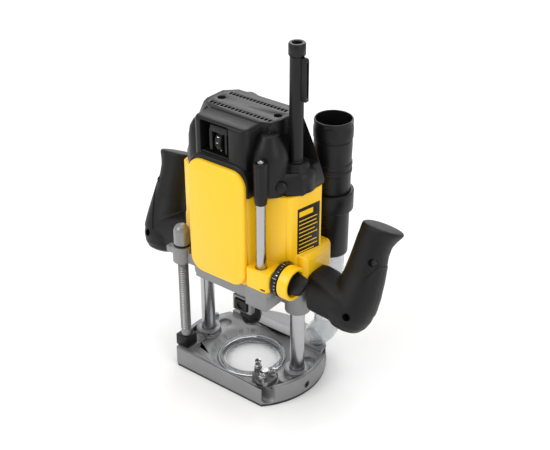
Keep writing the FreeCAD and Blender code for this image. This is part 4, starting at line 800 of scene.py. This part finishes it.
# ------------------------------------------------------------------------ cap
@dataclass
class TopCap:
    """Black hood with its window, vents, screw wells, domes and guard collar."""

    foot: float = 247.0
    top: float = 320.0
    nose_half: float = 34.5
    nose_y: float = -48.4
    guard: tuple[float, float] = (58.5, 3.0)
    well_x: float = 37.0

    def hood(self) -> bpy.types.Object:
        """Tapering hood with large corner chamfers."""
        levels = ((247.0, 78.0, -22.5, 38.0), (252.0, 78.0, -22.5, 38.0), (262.0, 75.0, -22.0, 37.5),
                  (284.0, 67.0, -21.0, 36.0), (304.0, 59.0, -20.0, 34.0), (314.0, 54.5, -19.5, 33.0),
                  (318.0, 51.5, -18.0, 31.5), (319.0, 49.0, -16.5, 30.0))
        rings = []
        for z, half, front, rear in levels:
            corner = 12.0
            plan = [(half - corner, front), (half, front + corner),
                    (half, rear - corner), (half - corner, rear)]
            plan += [(-x, y) for x, y in reversed(plan)]
            rings.append([Vector((x, y, z)) for x, y in plan])
        piece = skin("cap", rings)
        notch = block("notch", (43, -26, 270), (100, 24, 330), 0)
        return carve(piece, notch)

    def nose(self) -> bpy.types.Object:
        """Front of the cap, round the dial's window."""
        piece = block("nose", (-self.nose_half, self.nose_y, self.foot), (self.nose_half, -6, 319.0), 0)
        front = self.nose_y
        bevel_where(piece, lambda a, b: upright(a, b) and a.y < front + 1, 8.0, 6)
        bevel_where(piece, lambda a, b: a.z > 318.9 and b.z > 318.9, 4.0, 4)
        return piece

    def skirt(self) -> bpy.types.Object:
        """Flared collar that follows the top of the front cover."""
        piece = block("skirt", (-38.8, -51.4, self.foot), (38.8, -20, 280.0), 0)
        bevel_where(piece, lambda a, b: abs(a.x - b.x) < 0.01 and abs(a.z - b.z) < 0.01 and a.z > 270, 18.0, 8)
        bevel_where(piece, lambda a, b: a.y < -51.3 and b.y < -51.3, 2.2, 3)
        return piece

    def plateau(self) -> bpy.types.Object:
        """Raised field on top that holds the vents and the two wells."""
        plan = [(-43, -17), (-30, -23.5), (30, -23.5), (43, -17), (46, -6), (46, 12), (40, 24), (-40, 24),
                (-46, 12), (-46, -6)]
        return slab("plateau", plan, 300, self.top, 0.0, 0.0)

    def right_dome(self) -> bpy.types.Object:
        """Faceted tall dome beside the nose."""
        profile = [(19.6, 247), (19.6, 284), (19.0, 289), (17.2, 295), (14.2, 301), (10.8, 307), (9.4, 309.6),
                   (4, 310.4)]
        return turned("dome", profile, (43.0, -21.0, 0), sides=28)

    def left_cheek(self) -> bpy.types.Object:
        """Rounded cheek on the left side."""
        profile = [(16.0, 247), (15.6, 262), (15.0, 285), (13.4, 294), (9.6, 301), (5.0, 304.5), (2.0, 305)]
        return turned("cheek", profile, (-45.0, -21.0, 0), sides=24)

    def guard_base(self) -> bpy.types.Object:
        """Stepped round seat of the cord guard, on a rounded shoulder."""
        x, y = self.guard
        profile = [(21.0, 247), (20.8, 262), (19.6, 267), (16.8, 270), (14.2, 271), (13.6, 275), (12.4, 276.4)]
        return turned("guard_seat", profile, (x, y, 0), sides=48)

    def rear_lug(self) -> bpy.types.Object:
        """Domed lug at the rear."""
        profile = [(13.4, 247), (13.0, 300), (12.4, 309), (10.0, 314.5), (6.0, 317.4), (2.0, 318)]
        return turned("rear_lug", profile, (-24.0, 30.0, 0), sides=40)

    def build(self) -> None:
        """Unite the forms, cut the openings and add the small details."""
        cap = unite(self.hood(), self.nose(), self.skirt(), self.plateau(), self.right_dome(),
                    self.left_cheek(),
                    self.guard_base(), self.rear_lug())
        gx, gy = self.guard
        tools = [block("window", (-24, -60, 281), (13, -24.4, 316.5), 0),
                 turned("guard_way", [(7.5, 240), (7.5, 300)], (gx, gy, 0), sides=48)]
        bevel_where(tools[0], lambda a, b: abs(a.x - b.x) < 0.01 and abs(a.z - b.z) < 0.01, 2.0, 3)
        tools += [turned("well", [(4.3, 312), (4.3, 330)], (side * self.well_x, 1, 0), sides=32)
                  for side in (-1, 1)]
        carve(cap, *tools)
        vents = []
        for y, half in ((-13.6, 38.0), (15.0, 36.0)):
            for number in range(17):
                x = -half + half * number / 8
                vents.append(block("vent", (x - 1.35, y - 2.4, 313), (x + 1.35, y + 2.4, 325), 0))
        slots = gather(vents[0], *vents[1:])
        carve(cap, slots)
        break_edges(cap, 0.55, 2, 30)
        fit(cap, "carriage", "black_plastic", "top_cap", angle=34)
        self.trim()

    def trim(self) -> None:
        """Ribs between the vents, the thumb knob and the dial's hooded frame."""
        ribs = [block("rib", (-30, y - 0.8, 319.4), (30, y + 0.8, 320.0), 0.25, 2)
                for y in (-6.5, -3.0, 0.5, 4.0, 7.5)]
        fit(gather(ribs[0], *ribs[1:]), "carriage", "black_plastic").name = "cap_ribs"
        knob = turned("half_knob", [(5.4, 0), (6.4, 0.8), (6.6, 3.0), (6.0, 5.4), (4.2, 6.8), (1.0, 7.2)],
                      (60.0, -24.0, 258.0), (0.62, -0.78, 0.1), 36)
        fit(knob, "carriage", "black_plastic")
        hood = gather(block("dial_hood", (-12, -47.2, 307), (11, -38, 314.5), 1.2, 3),
                      block("post", (6.5, -46.5, 286), (9.5, -30, 310), 0.6, 2),
                      block("post", (-13.5, -46.5, 286), (-9.5, -30, 310), 0.6, 2),
                      block("sill", (-23, -47.6, 281.3), (12, -40, 283.4), 0.5, 2))
        fit(hood, "carriage", "black_plastic")


@dataclass
class SpeedDial:
    """Thumb wheel with a knurled rim and pale marks."""

    at: Point = (-5.0, -37.0, 297.0)
    width: float = 8.0

    def build(self) -> None:
        """Wheel, axle and marks."""
        rings = []
        for reach, height in ((10.6, 0.0), (11.6, 0.5), (11.9, 1.2), (11.9, 6.8), (11.6, 7.5), (10.6, 8.0)):
            rings.append(circle(reach, height, 96, 24, 0.55))
        wheel = put(skin("dial_wheel", rings), self.at, (1, 0, 0))
        axle = rod("axle", 1.9, 17.0, (-8.3, -37.0, 297.0), (1, 0, 0), 0.3, 24)
        gather(wheel, axle)
        fit(wheel, "dial", "black_plastic", "speed_dial")
        marks = []
        for number in range(12):
            turn = 2 * math.pi * number / 12
            mark = block("mark", (-1.3, -0.5, 11.6), (1.3, 0.5, 12.15), 0.12, 1)
            mark.data.transform(Matrix.Translation(Vector((self.at[0] + self.width / 2, *self.at[1:])) * MM)
                                @ Matrix.Rotation(turn, 4, "X"))
            marks.append(mark)
        fit(gather(marks[0], *marks[1:]), "dial", "chrome").name = "dial_marks"


# ----------------------------------------------------------------- cord guard
@dataclass
class CordGuard:
    """Tall guard with a ringed mouth, a slotted rib and a stepped collar."""

    at: Point = (58.5, 3.0, 0.0)

    def build(self) -> None:
        """Guard with its rib."""
        profile = [(10.9, 252), (10.9, 268.6), (10.2, 269.6), (9.4, 270.4), (9.2, 275.0), (8.4, 276.2), (7.4, 277.5),
                   (7.3, 330.0), (7.3, 388.0), (8.2, 389.2), (8.7, 390.0), (8.7, 400.6), (8.0, 402.0), (5.6, 402.0),
                   (4.8, 401.2), (4.6, 399.8), (4.6, 252.0)]
        guard = turned("cord_guard_moulding", profile, self.at, sides=56, hollow=True)
        x, y, _ = self.at
        rib = block("rib", (x + 5.5, y - 2.6, 343), (x + 13.0, y + 2.6, 388), 0)
        bevel_where(rib, lambda a, b: a.z > 387.9 and b.z > 387.9 and a.x > x + 12 and b.x > x + 12, 3.0, 4)
        slot = block("slot", (x + 7.8, y - 1.1, 348), (x + 14.0, y + 1.1, 384), 0)
        carve(rib, slot)
        break_edges(rib, 0.5, 2, 30)
        gather(guard, rib)
        fit(guard, "carriage", "black_rubber", "cord_guard")


# ------------------------------------------------------------------- dust tube
@dataclass
class DustTube:
    """Black telescoping tube with a bayonet mouth, bands and a ribbed side."""

    at: Point = (64.0, 60.0, 0.0)
    notches: int = 4

    def build(self) -> None:
        """Tube with its bands, its bayonet notches and the raised bars on its side."""
        profile = [(18.9, 146.0), (19.2, 147.0), (19.6, 200.0), (19.9, 243.0), (20.9, 244.2), (20.9, 247.4),
                   (20.1, 248.2), (20.1, 250.6), (21.0, 251.6), (21.0, 255.2), (20.2, 256.2), (20.3, 266.0),
                   (20.6, 274.0), (20.4, 281.0), (19.7, 281.6), (19.7, 283.2), (21.2, 284.2), (21.2, 294.8),
                   (20.7, 295.8), (20.7, 303.2), (20.1, 304.0), (19.4, 304.0), (19.0, 303.4), (19.0, 268.5),
                   (16.8, 267.0), (16.6, 146.4)]
        tube = turned("dust_tube", profile, self.at, sides=72, hollow=True)
        cutters = []
        for number in range(self.notches):
            turn = math.radians(20 + 90 * number)
            cutter = block("notch", (19.9, -5.0, 298.4), (24.0, 5.0, 310.0), 0)
            cutter.data.transform(Matrix.Translation(Vector(self.at) * MM) @ Matrix.Rotation(turn, 4, "Z"))
            cutters.append(cutter)
        carve(tube, *cutters)
        fit(tube, "carriage", "black_plastic", "dust_outer_tube", angle=30)
        self.keys()

    def keys(self) -> None:
        """Raised bars down the near side of the tube."""
        bars = []
        for number in range(11):
            bar = block("bar", (19.0, -2.4, 160.0 + 7.4 * number), (20.1, 2.4, 162.6 + 7.4 * number), 0.3, 2)
            turn = Matrix.Rotation(math.radians(-78), 4, "Z")
            bar.data.transform(Matrix.Translation(Vector(self.at) * MM) @ turn)
            bars.append(bar)
        fit(gather(bars[0], *bars[1:]), "carriage", "black_plastic").name = "tube_bars"


# ------------------------------------------------------------------ depth stop
@dataclass
class DepthStop:
    """Scale ring, yellow drum, black wing and the fine adjuster that sits on the stop rod."""

    centre: tuple[float, float] = (-34.5, 157.0)
    blade: tuple[tuple[float, float, float], ...] = (
        # how far out of the drum's back, half thickness, half length
        (6.5, 5.0, 12.6), (10.0, 4.0, 12.4), (16.0, 3.2, 11.6), (21.0, 2.6, 10.2), (23.2, 1.8, 8.6),
    )
    ring_x: float = 68.4
    drum_x: float = 76.0
    rod: tuple[float, float] = (51.5, -45.5)

    def middle(self, x: float) -> Point:
        """Point on the pinion's axis."""
        return (x, *self.centre)

    def scale_ring(self) -> None:
        """Black ring with pale graduations."""
        profile = [(6.0, 0.0), (17.6, 0.0), (18.7, 0.5), (18.8, 1.2), (18.8, 6.4), (18.5, 7.1), (6.0, 7.3),
                   (4.3, 7.3), (4.3, 0.0)]
        ring = turned("zero_ring", profile, self.middle(self.ring_x), (1, 0, 0), 96, hollow=True)
        fit(ring, "depth_zero", "black_plastic", "depth_scale_ring")
        ticks = []
        for number in range(30):
            long = number % 5 == 0
            x = self.ring_x
            tick = block("tick", (x + (1.6 if long else 4.2), -0.35, 18.6), (x + 6.4, 0.35, 18.92), 0.05, 1)
            tick.data.transform(Matrix.Translation(Vector(self.middle(0)) * MM)
                                @ Matrix.Rotation(2 * math.pi * number / 30, 4, "X"))
            ticks.append(tick)
        fit(gather(ticks[0], *ticks[1:]), "depth_zero", "chrome").name = "zero_ticks"

    def drum(self) -> None:
        """Hollow yellow drum with a finely lobed rim."""
        outer = [(15.8, 0.0), (17.6, 0.2), (18.1, 0.8), (18.3, 2.0), (18.3, 10.4), (17.9, 11.5), (17.2, 12.0)]
        inner = [(14.9, 12.0), (14.3, 11.6), (14.1, 10.8), (14.1, 3.0), (3.2, 3.0), (3.2, 0.0)]
        rings = [circle(r, h, 96, 32, 0.16 if 1 < h < 11 else 0.0) for r, h in outer]
        rings += [circle(r, h, 96) for r, h in inner]
        drum = put(skin("depth_drum", rings, hollow=True), self.middle(self.drum_x), (1, 0, 0))
        fit(drum, "depth_drive", "yellow", "depth_knob")

    def wing(self) -> None:
        """Black wing that fills the drum and tapers to a blade."""
        disc = turned("wing", [(13.3, 3.3), (13.7, 3.7), (13.7, 6.4), (13.1, 7.2), (9.0, 7.4)],
                      self.middle(self.drum_x), (1, 0, 0), 64)
        stem = turned("stem", [(2.9, 0.35), (2.9, 4.0)], self.middle(self.drum_x), (1, 0, 0), 32)
        rings = []
        for depth, half_w, half_l in self.blade:
            rings.append([Vector((half_w * c, half_l * s, depth)) for c, s in squarish(36, 2.8)])
        blade = put(skin("blade", rings), self.middle(self.drum_x), (1, 0, 0))
        blade.data.transform(self.spin(math.radians(35)))
        piece = gather(disc, stem, blade)
        fit(piece, "depth_lock", "black_plastic", "depth_lock_wing")

    def spin(self, angle: float) -> Matrix:
        """Turn about the pinion's axis."""
        centre = Matrix.Translation(Vector(self.middle(0)) * MM)
        return centre @ Matrix.Rotation(angle, 4, "X") @ centre.inverted()

    def fine_adjuster(self) -> None:
        """Fluted sleeve with a bright slotted screw on top."""
        sleeve = [(5.7, 244.0, 0.0), (6.3, 244.8, 0.0), (6.5, 247.0, 0.0), (7.2, 252.5, 0.0), (7.2, 256.0, 0.5),
                  (7.2, 286.0, 0.5), (7.1, 288.6, 0.2), (6.2, 290.0, 0.0), (4.0, 290.0, 0.0), (3.8, 289.0, 0.0)]
        rings = [circle(r, z, 72, 9, depth) for r, z, depth in sleeve]
        piece = put(skin("fine_sleeve", rings), (*self.rod, 0))
        fit(piece, "depth_fine", "black_plastic", "fine_adjust_knob")
        head = [(3.2, 288.5), (3.2, 291.4), (2.8, 292.4), (1.6, 293.0)]
        screw = turned("fine_screw", head, (*self.rod, 0), sides=36)
        carve(screw, block("slot", (45, -46.0, 291.8), (58, -45.0, 295), 0))
        fit(screw, "depth_fine", "steel")

    def build(self) -> None:
        """All pieces of the depth stop."""
        self.scale_ring()
        self.drum()
        self.wing()
        self.fine_adjuster()


# ------------------------------------------------------------- return springs
@dataclass
class ReturnSprings:
    """Springs in the columns, at the length they have with the carriage down."""

    foot: float = 12.0
    squeeze: float = 0.64

    def build(self) -> None:
        """Copy of the carried-over coils, shortened towards their fixed end."""
        coils = copy_of(frame["nodes"]["return_springs"], "short_springs")
        coils.parent = None
        coils.matrix_world = Matrix()
        at_foot = Matrix.Translation((0, 0, self.foot * MM))
        coils.data.transform(at_foot @ Matrix.Scale(self.squeeze, 4, (0, 0, 1)) @ at_foot.inverted())
        fit(coils, "base", "steel", "return_springs")


# --------------------------------------------------------------- height screw
@dataclass
class HeightScrew:
    """Threaded rod with its satin knob, at the left front corner."""

    at: Point = (-66.0, -38.0, 0.0)
    core: float = 5.2
    crest: float = 6.0
    pitch: float = 3.0
    thread_from: float = 36.0
    turns: int = 30

    def thread(self) -> bpy.types.Object:
        """One ridge wound round the core."""
        deselect()
        bpy.ops.mesh.primitive_circle_add(vertices=4, radius=1.0)
        ridge = christen("ridge")
        section = ((self.core - 0.3, 0.25), (self.core - 0.3, 2.75), (self.crest, 1.75), (self.crest, 1.25))
        for vertex, (reach, height) in zip(ridge.data.vertices, section):
            vertex.co = Vector((reach, 0, self.thread_from + height)) * MM
        modify(ridge, "SCREW", screw_offset=self.pitch * MM, iterations=self.turns, steps=28, render_steps=28)
        edit(ridge, lambda: (bpy.ops.mesh.fill_holes(sides=0),
                             bpy.ops.mesh.normals_make_consistent(inside=False)))
        ridge.data.transform(Matrix.Translation(Vector(self.at) * MM))
        return ridge

    def rod(self) -> None:
        """Core, ridge and the plain collars at both ends."""
        profile = [(4.6, 21.4), (5.9, 22.4), (5.9, 35.0), (self.core, 36.0), (self.core, 127.0), (5.9, 128.0),
                   (5.9, 149.6), (5.2, 150.2)]
        core = turned("height_rod", profile, self.at, sides=48)
        gather(core, self.thread())
        fit(core, "height_adjuster", "bright_screw", "height_screw", angle=40)

    def knob(self) -> None:
        """Six-flatted knob with a chamfered dome, on a dark washer."""
        rings = [circle(8.2, 152.0, 72), circle(9.0, 152.6, 72, 6, 0.2), circle(9.2, 154.0, 72, 6, 0.9),
                 circle(9.2, 167.0, 72, 6, 0.9), circle(8.9, 168.4, 72, 6, 0.3)]
        dome = ((8.3, 170.6), (7.1, 173.0), (5.3, 174.9), (3.0, 175.8), (0.8, 176.0))
        rings += [circle(radius, height, 72) for radius, height in dome]
        fit(put(skin("height_cap", rings), self.at), "height_adjuster", "grey_knob", "height_knob", angle=28)
        profile = [(8.6, 150.4), (9.4, 150.8), (9.4, 151.6), (8.6, 152.0)]
        washer = turned("height_washer", profile, self.at, sides=64)
        fit(washer, "height_adjuster", "black_plastic")

    def build(self) -> None:
        """Rod and knob."""
        self.rod()
        self.knob()


# --------------------------------------------------------------- depth turret
@dataclass
class Turret:
    """Disc with three posts, each with a slotted stop screw, and lock nuts on the posts whose screws stand high
    enough.
    """

    at: Point = (47.6, -36.3, 0.0)
    reach: float = 10.0
    directions: tuple[float, ...] = (-67.0, 53.0, 173.0)
    lifts: tuple[float, ...] = (28.0, 25.0, 30.0)
    tops: tuple[float, ...] = (35.0, 29.5, 38.6)

    def places(self) -> list[tuple[float, float, float, float]]:
        """Centre, post top and screw top of each stop."""
        places = []
        for angle, lift, top in zip(self.directions, self.lifts, self.tops):
            turn = math.radians(angle)
            places.append((self.at[0] + self.reach * math.cos(turn), self.at[1] + self.reach * math.sin(turn),
                           lift, top))
        return places

    def build(self) -> None:
        """Hub, screws and nuts."""
        rings = [circle(r, z, 96, 3, depth) for r, z, depth in
                 ((13.8, 17.4, 1.4), (14.8, 18.0, 1.5), (15.0, 21.6, 1.6), (14.4, 22.6, 1.5), (13.2, 23.2, 1.4))]
        hub = skin("turret_disc", rings)
        hub.data.transform(Matrix.Rotation(math.radians(self.directions[0] + 60), 4, "Z"))
        hub.data.transform(Matrix.Translation(Vector(self.at) * MM))
        crown = turned("crown", [(7.0, 22.5), (6.4, 24.6), (6.0, 26.6), (5.0, 27.3)], self.at, sides=40)
        extra = [crown]
        screws, nuts = [], []
        for x, y, lift, top in self.places():
            post = [(5.0, 22.0), (4.3, 24.0), (4.1, lift - 0.5), (3.5, lift)]
            extra.append(turned("post", post, (x, y, 0), sides=36))
            head = turned("stop_head", [(3.1, top - 2.6), (3.6, top - 2.2), (3.6, top - 1.0), (3.1, top - 0.3),
                                        (2.2, top)], (x, y, 0), sides=36)
            carve(head, block("slot", (x - 5, y - 0.45, top - 1.1), (x + 5, y + 0.45, top + 1), 0))
            shank = turned("stop_shank", [(1.9, lift - 4), (1.9, top - 2.4)], (x, y, 0), sides=24)
            screws += [head, shank]
            if top - lift > 4.9:
                nut = [(3.5, lift + 0.1), (4.0, lift + 0.5), (4.0, lift + 1.7), (3.5, lift + 2.1)]
                nuts.append(turned("nut", nut, (x, y, 0), sides=6))
        fit(gather(hub, *extra), "turret", "bright_screw", "turret_hub")
        fit(gather(screws[0], *screws[1:]), "turret", "steel", "turret_screws").name = "stop_screws"
        fit(gather(nuts[0], *nuts[1:]), "turret", "steel", "turret_nuts").name = "stop_nuts"


# ---------------------------------------------------------------- spindle end
@dataclass
class SpindleEnd:
    """Black collet nut; the collet stays as it is carried over."""

    taper: tuple[tuple[float, float], ...] = (
        (8.4, 58.0), (9.9, 58.2), (11.0, 61.0), (11.9, 65.4), (12.0, 66.0), (8.4, 66.0),
    )
    hexagon: tuple[tuple[float, float], ...] = (
        (12.6, 65.2), (13.4, 66.2), (13.4, 75.8), (12.6, 76.8), (9.7, 76.8), (9.7, 65.2),
    )

    def nut(self) -> None:
        """Hexagon on a short taper, open for the collet."""
        taper = turned("collet_nut_body", self.taper, sides=48, hollow=True)
        hexagon = turned("nut_hex", self.hexagon, sides=6, hollow=True)
        fit(gather(taper, hexagon), "spindle", "dark_steel", "collet_nut")

    def build(self) -> None:
        """The nut."""
        self.nut()


def main() -> None:
    """Build the sub-assemblies in order."""
    bpy.context.scene.view_settings.view_transform = "Standard"
    PAINT.dress_frame()
    Handles().build()
    MotorHousing().build()
    Castings().build()
    TopCap().build()
    SpeedDial().build()
    CordGuard().build()
    DustTube().build()
    DepthStop().build()
    ReturnSprings().build()
    HeightScrew().build()
    Turret().build()
    SpindleEnd().build()
    Studio().build()


if __name__ == "__main__":
    logging.basicConfig(level=logging.INFO)
    main()
